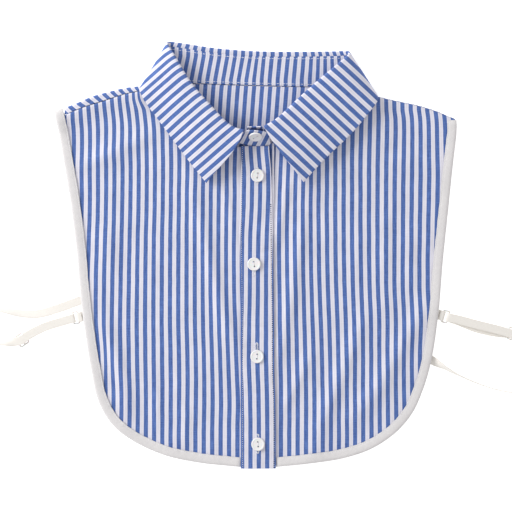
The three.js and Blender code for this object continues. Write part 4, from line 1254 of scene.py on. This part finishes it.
collarStations = [
    {"seam": (-12.6, 97.2, 9.5), "fold": (-10.2, 108.6, 22.4), "edge": (-42.8, 62.9, 7.4)},  # left front
    {"seam": (-25.0, 100.0, 8.4), "fold": (-20.5, 112.4, 21.0), "edge": (-54.5, 77.4, 7.0)},
    {"seam": (-42.0, 109.0, 8.0), "fold": (-40.0, 132.0, 17.6), "edge": (-67.5, 94.6, 6.9)},
    {"seam": (-60.0, 122.0, 6.8), "fold": (-56.0, 150.8, 14.6), "edge": (-83.5, 116.4, 6.8)},
    {"seam": (-79.0, 138.8, 5.3), "fold": (-69.4, 173.0, 11.4), "edge": (-95.2, 132.4, 6.8)},
    {"seam": (-87.4, 147.6, 4.7), "fold": (-74.4, 180.8, 8.6), "edge": (-100.8, 144.2, 6.9)},
    {"seam": (-89.6, 150.6, 3.3), "fold": (-75.8, 184.9, 5.9), "edge": (-98.4, 148.0, 3.6)},  # left crease
    {"seam": (-87.0, 151.2, 2.1), "fold": (-72.2, 185.8, 3.6), "edge": (-96.2, 148.4, 0.6)},
    {"seam": (-76.0, 150.8, 1.8), "fold": (-63.0, 184.7, 3.2), "edge": (-87.0, 140.0, 0.5)},
    {"seam": (-40.0, 149.6, 1.8), "fold": (-36.0, 180.7, 3.2), "edge": (-46.0, 132.4, 0.5)},
    {"seam": (0.0, 148.4, 1.8), "fold": (0.0, 177.9, 3.2), "edge": (0.0, 130.4, 0.5)},  # middle of the back
    {"seam": (40.0, 147.3, 1.8), "fold": (37.0, 177.5, 3.2), "edge": (46.0, 131.2, 0.5)},
    {"seam": (80.0, 146.2, 1.8), "fold": (68.5, 177.8, 3.2), "edge": (90.0, 133.0, 0.5)},
    {"seam": (91.0, 145.4, 2.1), "fold": (76.6, 178.0, 3.6), "edge": (101.2, 140.4, 0.6)},
    {"seam": (93.4, 144.4, 3.3), "fold": (79.4, 177.0, 5.9), "edge": (104.4, 140.6, 3.6)},  # right crease
    {"seam": (90.6, 141.4, 4.7), "fold": (78.6, 173.6, 9.2), "edge": (105.4, 135.2, 6.9)},
    {"seam": (80.0, 133.8, 5.3), "fold": (71.0, 166.8, 12.0), "edge": (97.5, 123.6, 6.8)},
    {"seam": (61.0, 120.4, 6.8), "fold": (53.5, 152.0, 15.0), "edge": (81.5, 104.6, 6.8)},
    {"seam": (42.5, 109.0, 8.0), "fold": (34.0, 134.2, 17.8), "edge": (64.3, 88.3, 6.9)},
    {"seam": (27.0, 100.6, 8.4), "fold": (17.0, 118.4, 20.2), "edge": (50.9, 74.5, 7.0)},
    {"seam": (13.8, 99.2, 8.8), "fold": (6.2, 112.0, 21.2), "edge": (40.9, 63.4, 7.4)},  # right front
]
overEnd = [
    {"seam": (13.2, 95.2, 9.9), "fold": (10.4, 106.6, 20.9)},
    {"seam": (0.0, 95.2, 9.7), "fold": (-0.8, 108.0, 22.9)},
]
underEnd = [
    {"seam": (3.0, 98.2, 8.4), "fold": (-1.0, 111.6, 19.4)},
    {"seam": (-8.0, 98.6, 8.3), "fold": (-8.0, 111.4, 18.8)},
]


# At each share: seam, fold, the way up from seam to fold, and the way out from the neck
def collarFrame(stations, shares):
    seamLine = SmoothLine([station["seam"] for station in stations])
    foldLine = SmoothLine([station["fold"] for station in stations])
    seam, fold = seamLine.at(shares), foldLine.at(shares)
    up = fold - seam
    up /= np.linalg.norm(up, axis=1)[:, None]
    ahead, behind = np.minimum(shares + 0.004, 1), np.maximum(shares - 0.004, 0)
    along = seamLine.at(ahead) - seamLine.at(behind) + foldLine.at(ahead) - foldLine.at(behind)
    out = np.cross(up, along)
    out /= np.linalg.norm(out, axis=1)[:, None]
    return seam, fold, up, out


# A size that changes from where the collar lies flat to where it stands up
def standing(height, low, high):
    return low + (high - low) * smooth((height - collar["flatBelow"]) / collar["standsOver"])


def foldRadius(height):
    return standing(height, collar["foldRadius"], collar["wingFoldRadius"])


def legLength(height):
    return standing(height, collar["backLeg"], collar["leg"])


def downFrom(places):
    steps = np.linalg.norm(np.diff(places, axis=0), axis=-1)
    return np.concatenate([np.zeros((1, places.shape[1])), np.cumsum(steps, axis=0)])


def wingCount(side, x, y):
    wing = wingStripes[side]
    angle = math.radians(wing["angle"])
    count = (x * math.cos(angle) + y * math.sin(angle)) / wing["repeat"] + wing["start"]
    return count - wing["closer"] * np.maximum(0, 1 - count)


# The leaf's cut, in stations from the middle of the back to where its stripes change
leafCut = {
    "middle": 10,
    "crease": 4,
    "steep": 4.4,
    "steepBlend": 0.3,
    "wing": 2.7,
    "wingBlend": 1.1,
    "countedRow": 4,  # on the fold
    "standX": -1.2,
    "standY": 168.0,
    "bentReach": 11,
}


# Flat places of the leaf: straight stripes over each wing, and the stand's own count along the back
def leafFlat(places, fold, shares):
    x, y = places[..., 0], places[..., 1]
    station = shares * (len(collarStations) - 1)
    middle, row = leafCut["middle"], leafCut["countedRow"]
    onStand = fold[None, :, 0] + leafCut["standX"] + 0 * x
    count = acrossStripes(standStripes, onStand, leafCut["standY"] + 0 * y)
    fromFold = np.linalg.norm(places[..., :2] - fold[None, :, :2], axis=-1)
    nearFold = np.clip(1 - fromFold / leafCut["bentReach"], 0, 1) ** 2
    bent = wingStripes["left"]["bent"] * (station / collar["creases"][0])[None] * nearFold
    for wing, way in ((bent - wingCount("left", x, y), -1), (wingCount("right", x, y), 1)):
        steep, crease = middle + leafCut["steep"] * way, middle + leafCut["crease"] * way
        beyond = smooth((steep - station) * way / leafCut["steepBlend"])
        toWing = smooth(((station - middle) * way - leafCut["wing"]) / leafCut["wingBlend"])
        height = places[:, int(np.argmin(np.abs(station - steep))), 2]
        wing += way * (places[..., 2] - height[:, None]) / shirting["repeat"] * beyond[None]
        column = int(np.argmin(np.abs(station - crease)))
        wing += round(float((count[row, column] - wing[row, column])))
        count = count + (wing - count) * toWing[None]
    return np.stack([(count + 0.5) * shirting["repeat"], downFrom(places)], -1)


# The stand's cut: at its ends the stripes lean, as it turns with the neck
standCut = {
    "borders": (7.6, 12.4),  # stations between which its stripes are counted on the inside
    "blend": 1.2,
    "ends": (0, 20),
    "endBlend": 0.6,
    "lean": 0.53,
    "leaningRepeat": 7.7,
    "place": (0.26, 99.9),
}


# Flat places of the stand: the count measured on its inside at the back, then on along the seam
def standFlat(places, seam, station):
    x, y = places[..., 0], places[..., 1]
    count = acrossStripes(standStripes, x, y)
    run = runAlong(seam)
    firstBorder, lastBorder = standCut["borders"]
    for border, inside in ((firstBorder, station > firstBorder), (lastBorder, station < lastBorder)):
        column = int(np.argmin(np.abs(station - border)))
        onward = count[:, column : column + 1] + (run - run[column])[None] / shirting["repeat"]
        near = smooth(np.abs(station - border) / standCut["blend"]) * ~inside
        count = count + (onward - count) * near[None]
    (px, py), (firstEnd, lastEnd), blend = standCut["place"], standCut["ends"], standCut["endBlend"]
    leaning = -(x - px - standCut["lean"] * (y - py)) / standCut["leaningRepeat"]
    atFirst, atLast = smooth(blend - station), smooth(station - (lastEnd - blend))
    for border, atEnd in ((firstEnd, atFirst), (lastEnd, atLast)):
        column = int(np.argmin(np.abs(station - border)))
        whole = round(float(count[0, column] - leaning[0, column]))
        count = count + (leaning + whole - count) * atEnd[None]
    return np.stack([(count + 0.5) * shirting["repeat"], downFrom(places)], -1)


def makeLeaf():
    foldSteps, leafSteps = collar["foldSteps"], collar["leafSteps"]
    shares = np.linspace(0, 1, collar["columns"] + 1)
    _, fold, up, out = collarFrame(collarStations, shares)
    edge = SmoothLine([station["edge"] for station in collarStations]).at(shares)
    station = shares * (len(collarStations) - 1)
    onRight = smooth((station - collar["rightLiftFrom"]) / collar["liftOver"])
    onLeft = smooth((collar["leftLiftFrom"] - station) / collar["liftOver"])
    edge[:, 2] += collar["rightLift"] * onRight + collar["leftLift"] * onLeft
    fromCreases = [(station - crease) / collar["creaseWidth"] for crease in collar["creases"]]
    creased = sum(np.exp(-(way**2)) for way in fromCreases)
    radius = (foldRadius(fold[:, 2]) - collar["creaseTighter"] * creased**3)[:, None]
    legTop = fold - up * (radius + cloth / 2)
    reach = edge - legTop
    turn = np.arctan2((reach * out).sum(1), (reach * up).sum(1))[:, None]

    def onFold(angle):
        return legTop + out * radius * (1 - np.cos(angle)) + up * radius * np.sin(angle)

    leg = legLength(fold[:, 2])[:, None]
    rows = [legTop - up * leg, legTop - up * leg / 2]
    rows += [onFold(turn * k / foldSteps) for k in range(foldSteps + 1)]
    leaving = onFold(turn)
    heading = up * np.cos(turn) + out * np.sin(turn)
    length = np.linalg.norm(edge - leaving, axis=1)[:, None]
    bulge = np.zeros_like(fold)
    bulge[:, 2] = collar["bulge"] * smooth((fold[:, 2] - collar["bulgeFrom"]) / collar["bulgeOver"])
    straight = (edge - leaving) / length
    heading = heading + (straight - heading) * np.minimum(creased, 1)[:, None]
    first = leaving + heading * length / 3 + bulge
    second = edge + (leaving - edge) / 3 + bulge
    for k in range(1, leafSteps + 1):
        t = k / leafSteps
        nearFold = (1 - t) ** 3 * leaving + 3 * t * (1 - t) ** 2 * first
        rows.append(nearFold + 3 * t * t * (1 - t) * second + t**3 * edge)
    places = np.stack(rows)
    places[..., 2] = np.maximum(places[..., 2], cloth / 2)
    flat = leafFlat(places, fold, shares)
    piece = clothPiece("collarLeaf", places, flat, collar["leafThickness"], poplin, rounded=0.25)
    layCloth(piece, ["collar_leaf"])


def makeStand():
    stations = overEnd + collarStations + underEnd
    perStation = stand["perStation"]
    columns = perStation * (len(stations) - 1)
    seam, fold, up, _ = collarFrame(stations, np.linspace(0, 1, columns + 1))
    column = np.arange(columns + 1)
    fromEnd = np.minimum(column, columns - column) / perStation
    covered = smooth((fromEnd - len(overEnd) + 0.3) / 0.3)
    under = foldRadius(fold[:, 2]) + cloth / 2 + legLength(fold[:, 2]) + 0.05
    below = covered * under + (1 - covered) * stand["endDrop"]
    fromCorner = 1 - np.minimum(column / perStation * stand["stationRun"] / stand["cornerRun"], 1)
    corner = stand["endCorner"] * (1 - np.sqrt(np.clip(1 - fromCorner**2, 0, 1)))
    top = fold - up * (below + corner)[:, None]
    rows = np.linspace(0, 1, stand["rows"])
    places = seam[None] + (top - seam)[None] * rows[:, None, None]
    # The end that lies under falls back below its rim, so that the two ends gape
    fromHollow = column - columns + stand["hollowFrom"] * perStation
    underneath = smooth(fromHollow / (stand["hollowOver"] * perStation))[None]
    belowRim = smooth((stand["hollowTop"] - rows) / stand["hollowTopBlend"])
    hollow = (belowRim * smooth((rows - stand["hollowFoot"]) / stand["hollowFootBlend"]))[:, None]
    places[..., 2] -= stand["hollow"] * hollow * underneath
    flat = standFlat(places, seam, column / perStation - len(overEnd))
    # Within the hollow the stripes are moved onto their blue: painted shade, so that the gap between the two
    # ends looks dark
    paintedShadeBlue = (np.floor(flat[..., 0] / shirting["repeat"]) + 0.5) * shirting["repeat"]
    flat[..., 0] += (paintedShadeBlue - flat[..., 0]) * stand["paintedShadeBlue"] * hollow * underneath
    piece = clothPiece("collarStand", places, flat, stand["thickness"], poplin, rounded=0.25)
    normal = uprightsOf(places)
    # Topstitching on the inside
    lines = []
    first, last = perStation * stand["unstitched"], columns - perStation * stand["unstitched"]
    for row in stand["stitchRows"]:
        ways = -normal[row, first:last] if normal[row, columns // 2, 2] < 0 else normal[row, first:last]
        lines.append((places[row, first:last] + ways * (stand["thickness"] / 2 + 0.04), ways))
    stitches = threads("standTopstitch", lines, seamStitch)
    layCloth(piece, ["collar_stand"])


makeLeaf()
makeStand()
print("collar turned")

# Buttons: turned resin with a raised rim, a dished middle and two holes, sewn on through them

buttonSizes = {
    "radius": 5.8,
    "hole": 0.72,
    "spacing": 3.9,
    "strand": 0.12,
    "strandAside": 0.15,
    "strandShort": 0.42,  # its ends lie inside the holes' middles
    "clear": 0.25,
    "turns": 64,
}
# Half section from the middle of the face over the rim to the middle of the back: radius, height
buttonSection = [
    (0.0, 1.45), (3.4, 1.45), (4.1, 1.52), (4.6, 1.68), (5.0, 1.73), (5.35, 1.66), (5.65, 1.4), (5.8, 1.05),
    (5.7, 0.6), (5.2, 0.25), (4.2, 0.05), (3.0, 0.0), (0.0, 0.0),
]


def buttonMesh():
    section = SmoothLine(buttonSection[1:-1]).along(np.linspace(0, 1, 30))
    turns = buttonSizes["turns"]
    angle = np.linspace(0, 2 * math.pi, turns, endpoint=False)
    circle = np.stack([np.cos(angle), np.sin(angle), 0 * angle], -1)
    rings = np.stack([circle * radius + [0, 0, height] for radius, height in section])
    vertices = list(rings.reshape(-1, 3)) + [np.array([0, 0, buttonSection[0][1]]), np.array([0, 0, 0.0])]
    faces = [face[::-1] for face in gridFaces(len(section), turns, closed=True)]
    middle, base = len(vertices) - 2, (len(section) - 1) * turns
    for k in range(turns):
        faces.append([middle, k, (k + 1) % turns])
        faces.append([middle + 1, base + (k + 1) % turns, base + k])
    return vertices, faces


def holeCutter(name):
    cutter = bmesh.new()
    hole, through = buttonSizes["hole"] * mm, 8 * mm
    for side in (-1, 1):
        made = bmesh.ops.create_cone(
            cutter, cap_ends=True, segments=20, radius1=hole, radius2=hole, depth=through
        )
        bmesh.ops.translate(cutter, verts=made["verts"], vec=(side * buttonSizes["spacing"] / 2 * mm, 0, 0))
    mesh = bpy.data.meshes.new(name)
    cutter.to_mesh(mesh)
    cutter.free()
    piece = bpy.data.objects.new(name, mesh)
    scene.collection.objects.link(piece)
    return piece


def applied(piece):
    made = bpy.data.meshes.new_from_object(piece.evaluated_get(bpy.context.evaluated_depsgraph_get()))
    piece.modifiers.clear()
    piece.data = made
    return piece


def drilledButton():
    vertices, faces = buttonMesh()
    blank = meshObject("button blank", vertices, faces, None, buttonResin)
    cutter = holeCutter("holes")
    drill = blank.modifiers.new("holes", "BOOLEAN")
    drill.operation = "DIFFERENCE"
    drill.solver = "EXACT"
    drill.object = cutter
    applied(blank)
    bpy.data.objects.remove(cutter)
    mesh = blank.data
    bpy.data.objects.remove(blank)
    mesh.polygons.foreach_set("use_smooth", [True] * len(mesh.polygons))
    mesh.set_sharp_from_angle(angle=math.radians(40))
    return mesh


# Strands of sewing thread that pass from hole to hole, as closed round rods bent down at both ends
def sewingStrands():
    vertices, faces = [], []
    sides = 8
    for offset in (-buttonSizes["strandAside"], buttonSizes["strandAside"]):
        half = buttonSizes["spacing"] / 2 - buttonSizes["strandShort"]
        bends = ((-half, 0.7), (-half + 0.1, 1.4), (-0.9, 1.56), (0.9, 1.56), (half - 0.1, 1.4), (half, 0.7))
        path = SmoothLine([(x, offset, z) for x, z in bends]).along(np.linspace(0, 1, 22))
        way = np.gradient(path, axis=0)
        way /= np.linalg.norm(way, axis=1)[:, None]
        across = np.array([0.0, 1.0, 0.0])
        start = len(vertices)
        for place, heading in zip(path, way):
            normal = np.cross(heading, across)
            for k in range(sides):
                a = 2 * math.pi * k / sides
                vertices.append(place + buttonSizes["strand"] * (across * math.cos(a) + normal * math.sin(a)))
        faces += [[start + i for i in face] for face in gridFaces(len(path), sides, closed=True)]
        faces.append([start + k for k in range(sides)][::-1])
        faces.append([start + (len(path) - 1) * sides + k for k in range(sides)])
    return vertices, faces


def placedCopy(mesh, name, origin, right, up, out):
    copy = mesh.copy()
    places = np.array([vertex.co for vertex in copy.vertices], float) / mm
    turned = (origin + places @ np.array([right, up, out])) * mm
    copy.vertices.foreach_set("co", turned.ravel())
    copy.update()
    piece = bpy.data.objects.new(name, copy)
    scene.collection.objects.link(piece)
    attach(piece, "root")
    return piece


buttonTemplate = drilledButton()
strandObject = meshObject("strands", *sewingStrands(), None, thread)
strandTemplate = strandObject.data
bpy.data.objects.remove(strandObject)


def sewButton(name, node, origin, right, up, out):
    piece = placedCopy(buttonTemplate, name, origin, right, up, out)
    placedCopy(strandTemplate, name + "Thread", origin, right, up, out)
    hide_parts(node)


buttonPlaces = [
    {"x": 1.3, "y": 69.6, "turn": 82},
    {"x": -1.7, "y": -7.0, "turn": 100},
    {"x": 0.9, "y": -87.0, "turn": 84},
    {"x": 1.7, "y": -162.7, "turn": 96},
]
for index, place in enumerate(buttonPlaces):
    x, y, radius = place["x"], place["y"], buttonSizes["radius"]
    above, below = (frontUnderside(np.array(x), np.array(y + way)) for way in (radius, -radius))
    out = np.array([0, -float(above - below) / (2 * radius), 1.0])
    out /= np.linalg.norm(out)
    turn = math.radians(place["turn"])
    right = np.array([math.cos(turn), math.sin(turn), 0.0])
    right -= out * (right @ out)
    right /= np.linalg.norm(right)
    origin = np.array([x, y, placketTop(x, y) + buttonSizes["clear"]])
    sewButton(f"button{index + 1}", f"button_{index + 1}", origin, right, np.cross(out, right), out)


collarButton = {"tilt": 57, "turn": 38, "height": 0.62, "clear": 0.5}  # height as a share of the stand's


def sewCollarButton():
    seam, fold = (np.array(overEnd[1][key]) for key in ("seam", "fold"))
    tilt, turn = math.radians(collarButton["tilt"]), math.radians(collarButton["turn"])
    out = np.array([0.0, -math.sin(tilt), math.cos(tilt)])
    origin = seam + (fold - seam) * collarButton["height"] + out * collarButton["clear"]
    right = np.array([1.0, 0.0, 0.0])
    up = np.cross(out, right)
    turnedRight = right * math.cos(turn) + up * math.sin(turn)
    sewButton("buttonCollar", "button_collar", origin, turnedRight, np.cross(out, turnedRight), out)


sewCollarButton()
print("buttons sewn")

# Straps, rings, sliders and tabs

hardware = {
    "band": 7.6,
    "bandThickness": 1.0,
    "ringHeight": 2.5,
    "wire": 1.2,
    "ringLength": 11.4,
    "ringWidth": 6.4,
    "sliderWidth": 9.6,
    "ringCorner": 1.2,
    "sliderCorner": 1.4,
    "tabEnd": 5.4,  # inwards from the ring's middle
}
loopRadius = hardware["wire"] / 2 + gap + hardware["bandThickness"] / 2

# Places of each strap's middle, with its roll about its own way; roll 0 lies flat: x, y, z, roll
leftStrap = {
    "tab": (-149.0, -51.6),
    "ring": (-156.3, -53.6, 12),
    "slider": (-203.2, -72.6, 36),
    "route": [
        (-142.0, -34.2, 0.9, 0), (-153.1, -38.6, 0.9, 0), (-170.9, -45.2, 0.9, 6),
        (-189.1, -50.2, 1.9, 20), (-204.5, -49.8, 2.9, 38), (-216.6, -47.4, 4.0, 58),
        (-232.0, -44.0, 4.2, 75), (-252.0, -42.0, 4.2, 84), (-270.0, -45.0, 4.2, 88),
        (-281.0, -57.0, 4.2, 90), (-277.0, -71.0, 4.2, 92), (-261.0, -78.5, 4.2, 94),
        (-241.0, -77.0, 4.2, 97), (-227.0, -75.0, 4.2, 104), (-217.0, -74.8, 4.6, 134),
        (-210.0, -74.6, 4.3, 172),
    ],
    "upper": [
        (-203.2, -72.6, 4.1, 180), (-197.0, -68.4, 4.1, 180), (-183.9, -61.8, 4.0, 180),
        (-168.5, -56.9, 3.9, 180),
    ],
    "lower": [
        (-168.5, -56.9, 1.1, 180), (-183.9, -61.8, 1.0, 180), (-196.6, -68.2, 1.0, 180),
        (-201.8, -71.6, 1.0, 180),
    ],
}
rightStrap = {
    "tab": (157.6, -50.6),
    "ring": (164.4, -52.6, -16),
    "slider": (222.6, -67.6, -16),
    "route": [
        (143.0, -85.4, 0.9, 0), (149.5, -88.8, 0.9, 0), (155.5, -92.0, 2.2, 22), (163.0, -96.4, 4.1, 64),
        (174.9, -102.9, 4.2, 82), (193.7, -111.0, 4.2, 86), (212.3, -116.6, 4.2, 88),
        (232.0, -118.6, 4.2, 89), (254.0, -116.0, 4.2, 90), (273.0, -106.0, 4.2, 91),
        (280.0, -91.0, 4.2, 92), (271.0, -79.0, 4.2, 96), (254.0, -74.0, 4.2, 104),
        (238.0, -71.0, 4.6, 138), (230.0, -69.4, 4.3, 172),
    ],
    "upper": [
        (222.6, -67.6, 4.1, 180), (209.2, -63.8, 4.1, 180), (192.6, -59.7, 4.0, 180),
        (176.0, -55.3, 3.9, 180),
    ],
    "lower": [
        (176.0, -56.6, 1.1, 180), (191.0, -62.6, 1.0, 180), (208.0, -66.4, 1.0, 180),
        (220.6, -67.6, 1.0, 180),
    ],
}


# Gives each place of a route the level direction across it in the plan
def withLevels(route, flip=1):
    places = [np.array(place[:3], float) for place in route]
    rows = []
    for i, place in enumerate(places):
        along = places[min(i + 1, len(places) - 1)] - places[max(i - 1, 0)]
        along /= np.hypot(along[0], along[1])
        rows.append((place, np.array([-along[1], along[0], 0.0]) * flip, route[i][3]))
    return rows


# Half a turn round a bar, in the upright plane of a heading
def roundBar(bar, heading, level, roll, topFirst):
    rows = []
    for k in range(7):
        angle = math.pi * k / 6
        height = (1 if topFirst else -1) * loopRadius * math.cos(angle)
        rows.append((bar + heading * loopRadius * math.sin(angle) + np.array([0, 0, height]), level, roll))
    return rows


# Rounded section of a band, with fine lengthwise ribs on both faces: across, above
def bandSection(width, thickness):
    half, edge = width / 2, thickness / 2
    flatHalf = half - edge
    across = np.linspace(-flatHalf, flatHalf, 37)
    ribHeight = 0.05
    rib = ribHeight * np.cos(across * 2 * math.pi / knitting["rib"])
    turn = np.linspace(-math.pi / 2, math.pi / 2, 7)[1:-1]
    lower = np.stack([across, -edge + ribHeight - rib], -1)
    rightEnd = np.stack([flatHalf + edge * np.cos(turn), edge * np.sin(turn)], -1)
    upper = np.stack([across[::-1], edge - ribHeight + rib[::-1]], -1)
    leftEnd = np.stack([-flatHalf - edge * np.cos(turn), -edge * np.sin(turn)], -1)
    return np.vstack([lower, rightEnd, upper, leftEnd])


def bandPiece(name, rows, width, thickness, stepsPerPlace):
    line = SmoothLine([row[0] for row in rows])
    levels = np.array([row[1] for row in rows])
    rolls = np.radians([row[2] for row in rows])
    steps = stepsPerPlace * (len(rows) - 1)
    share = np.linspace(0, 1, steps + 1)
    place = line.at(share)
    along = line.at(np.minimum(share + 0.001, 1)) - line.at(np.maximum(share - 0.001, 0))
    along /= np.linalg.norm(along, axis=1)[:, None]
    scaled = share * (len(rows) - 1)
    roll = np.interp(scaled, range(len(rows)), rolls)[:, None]
    level = np.stack([np.interp(scaled, range(len(rows)), column) for column in levels.T], -1)
    level -= along * (level * along).sum(1)[:, None]
    level /= np.linalg.norm(level, axis=1)[:, None]
    normal = np.cross(along, level)
    wide = level * np.cos(roll) + normal * np.sin(roll)
    thin = np.cross(along, wide)
    section = bandSection(width, thickness)
    rings = place[:, None] + wide[:, None] * section[None, :, :1] + thin[:, None] * section[None, :, 1:]
    run = runAlong(place)
    flat = np.stack(np.broadcast_arrays(section[None, :, 0], run[:, None]), -1)
    size = len(section)
    faces = gridFaces(len(rings), size, closed=True)
    faces.append(list(range(size))[::-1])
    faces.append([(len(rings) - 1) * size + k for k in range(size)])
    piece = meshObject(name, rings.reshape(-1, 3), faces, flat.reshape(-1, 2), elastic)
    turnOutwards(piece)
    return piece, run[-1]


def turnOutwards(piece):
    shape = bmesh.new()
    shape.from_mesh(piece.data)
    bmesh.ops.recalc_face_normals(shape, faces=shape.faces)
    shape.to_mesh(piece.data)
    shape.free()


# Middle line of a round-cornered frame: width along the band, height across it
def wireFrame(width, height, corner):
    x, y = width / 2 - corner, height / 2 - corner
    points = []
    for cx, cy, start in ((x, y, 0), (-x, y, 90), (-x, -y, 180), (x, -y, 270)):
        for k in range(6):
            angle = math.radians(start + 90 * k / 5)
            points.append((cx + corner * math.cos(angle), cy + corner * math.sin(angle)))
    return np.array(points)


# A ring or slider of round wire: its closed loops, and straight bars across them
def barPiece(name, node, origin, turn, loops, bars):
    wire = hardware["wire"] / 2
    sides = 12
    vertices, faces = [], []
    angles = np.linspace(0, 2 * math.pi, sides, endpoint=False)
    for points in loops:
        ahead = np.roll(points, -1, axis=0) - np.roll(points, 1, axis=0)
        ahead /= np.linalg.norm(ahead, axis=1)[:, None]
        outward = np.stack([ahead[:, 1], -ahead[:, 0]], -1)
        start, count = len(vertices), len(points)
        for point, side in zip(points, outward):
            for a in angles:
                vertices.append(np.array([*(point + side * wire * math.cos(a)), wire * math.sin(a)]))
        index = np.arange(count * sides).reshape(count, sides) + start
        index = np.vstack([index, index[:1]])
        index = np.hstack([index, index[:, :1]])
        corners = [index[:-1, :-1], index[:-1, 1:], index[1:, 1:], index[1:, :-1]]
        faces += np.stack(corners, -1).reshape(-1, 4).tolist()
    thinner, steps = wire * 0.9, 8
    for x, half in bars:
        start = len(vertices)
        for y in np.linspace(-half, half, steps + 1):
            for a in angles:
                vertices.append(np.array([x + thinner * math.cos(a), y, thinner * math.sin(a)]))
        faces += [[start + i for i in face] for face in gridFaces(steps + 1, sides, closed=True)]
        faces.append([start + k for k in range(sides)])
        faces.append([start + steps * sides + k for k in range(sides)][::-1])
    cos, sin = math.cos(math.radians(turn)), math.sin(math.radians(turn))
    turned = [np.array([cos * v[0] - sin * v[1], sin * v[0] + cos * v[1], v[2]]) + origin for v in vertices]
    piece = meshObject(name, turned, faces, None, acetal)
    turnOutwards(piece)
    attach(piece, "root")
    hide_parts(node)


def makeStrap(name, strap, outwards):
    title = name.capitalize()
    ringX, ringY, ringTurn = strap["ring"]
    turn = math.radians(ringTurn)
    heading = np.array([outwards * math.cos(turn), outwards * math.sin(turn), 0.0])
    level = np.array([-heading[1], heading[0], 0.0])
    ring = np.array([ringX, ringY, hardware["ringHeight"]])
    barOffset = hardware["ringWidth"] / 2 - hardware["wire"] / 2
    outerBar, innerBar = ring + heading * barOffset, ring - heading * barOffset

    wire = hardware["wire"]
    across = hardware["ringLength"] - wire
    ringLoop = wireFrame(hardware["ringWidth"] - wire, across, hardware["ringCorner"])
    barPiece("strapRing" + title, "strap_ring_" + name, ring, ringTurn, [ringLoop], [])
    sliderX, sliderY, sliderTurn = strap["slider"]
    sliderLoop = wireFrame(hardware["sliderWidth"] - wire, across, hardware["sliderCorner"])
    slider = np.array([sliderX, sliderY, hardware["ringHeight"]])
    middleBar = [(0.0, hardware["ringLength"] / 2 - wire * 0.6)]
    barPiece("strapSlider" + title, "strap_slider_" + name, slider, sliderTurn, [sliderLoop], middleBar)

    toRing = withLevels(strap["route"] + strap["upper"])
    fromRing = withLevels(strap["lower"], -1)
    half = roundBar(outerBar, -heading, -level, 180, True)
    rows = toRing + half + fromRing
    band, length = bandPiece("strap" + title, rows, hardware["band"], hardware["bandThickness"], 8)
    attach(band, "root")
    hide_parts("strap_" + name)
    print("strap", name, "length", round(length, 1), "mm")

    tabX, tabY = strap["tab"]
    start = np.array([tabX, tabY, hardware["ringHeight"] - loopRadius])
    end = ring - heading * hardware["tabEnd"] + np.array([0, 0, loopRadius])
    tabRows = [(start, level, 0)] + roundBar(innerBar, heading, level, 0, False) + [(end, level, 0)]
    tab, _ = bandPiece("strapTab" + title, tabRows, hardware["band"] + 1, hardware["bandThickness"], 6)
    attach(tab, "root")
    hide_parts("strap_tab_" + name)


makeStrap("left", leftStrap, -1)
makeStrap("right", rightStrap, 1)
print("straps threaded")

# Floor and light


def makeFloor():
    mesh = bpy.data.meshes.new("floor")
    reach = 4.0
    corners = [(-reach, -reach, 0), (reach, -reach, 0), (reach, reach, 0), (-reach, reach, 0)]
    mesh.from_pydata(corners, [], [(0, 1, 2, 3)])
    mesh.materials.append(opalAcrylic)
    floor = bpy.data.objects.new("floor", mesh)
    scene.collection.objects.link(floor)
    floor.location.z = -0.0003  # just below what lies on it


lights = [
    {"name": "window", "place": (-1.75, 0.85, 1.05), "size": (1.3, 1.1), "power": 42.0},
    {"name": "fill", "place": (1.5, -0.8, 1.8), "size": (2.2, 2.2), "power": 6.0},
]
roomLight = 0.6


def makeLight(lamp):
    data = bpy.data.lights.new(lamp["name"], "AREA")
    data.shape = "RECTANGLE"
    data.size, data.size_y = lamp["size"]
    data.energy = lamp["power"]
    piece = bpy.data.objects.new(lamp["name"], data)
    piece.location = lamp["place"]
    piece.rotation_euler = Vector(lamp["place"]).to_track_quat("Z", "Y").to_euler()
    scene.collection.objects.link(piece)


makeFloor()
for lamp in lights:
    makeLight(lamp)
world = bpy.data.worlds.new("studio")
scene.world = world
world.use_nodes = True
world.node_tree.nodes["Background"].inputs[0].default_value = (1, 1, 1, 1)
world.node_tree.nodes["Background"].inputs[1].default_value = roomLight
scene.view_settings.view_transform = "Standard"
print("stage lit")
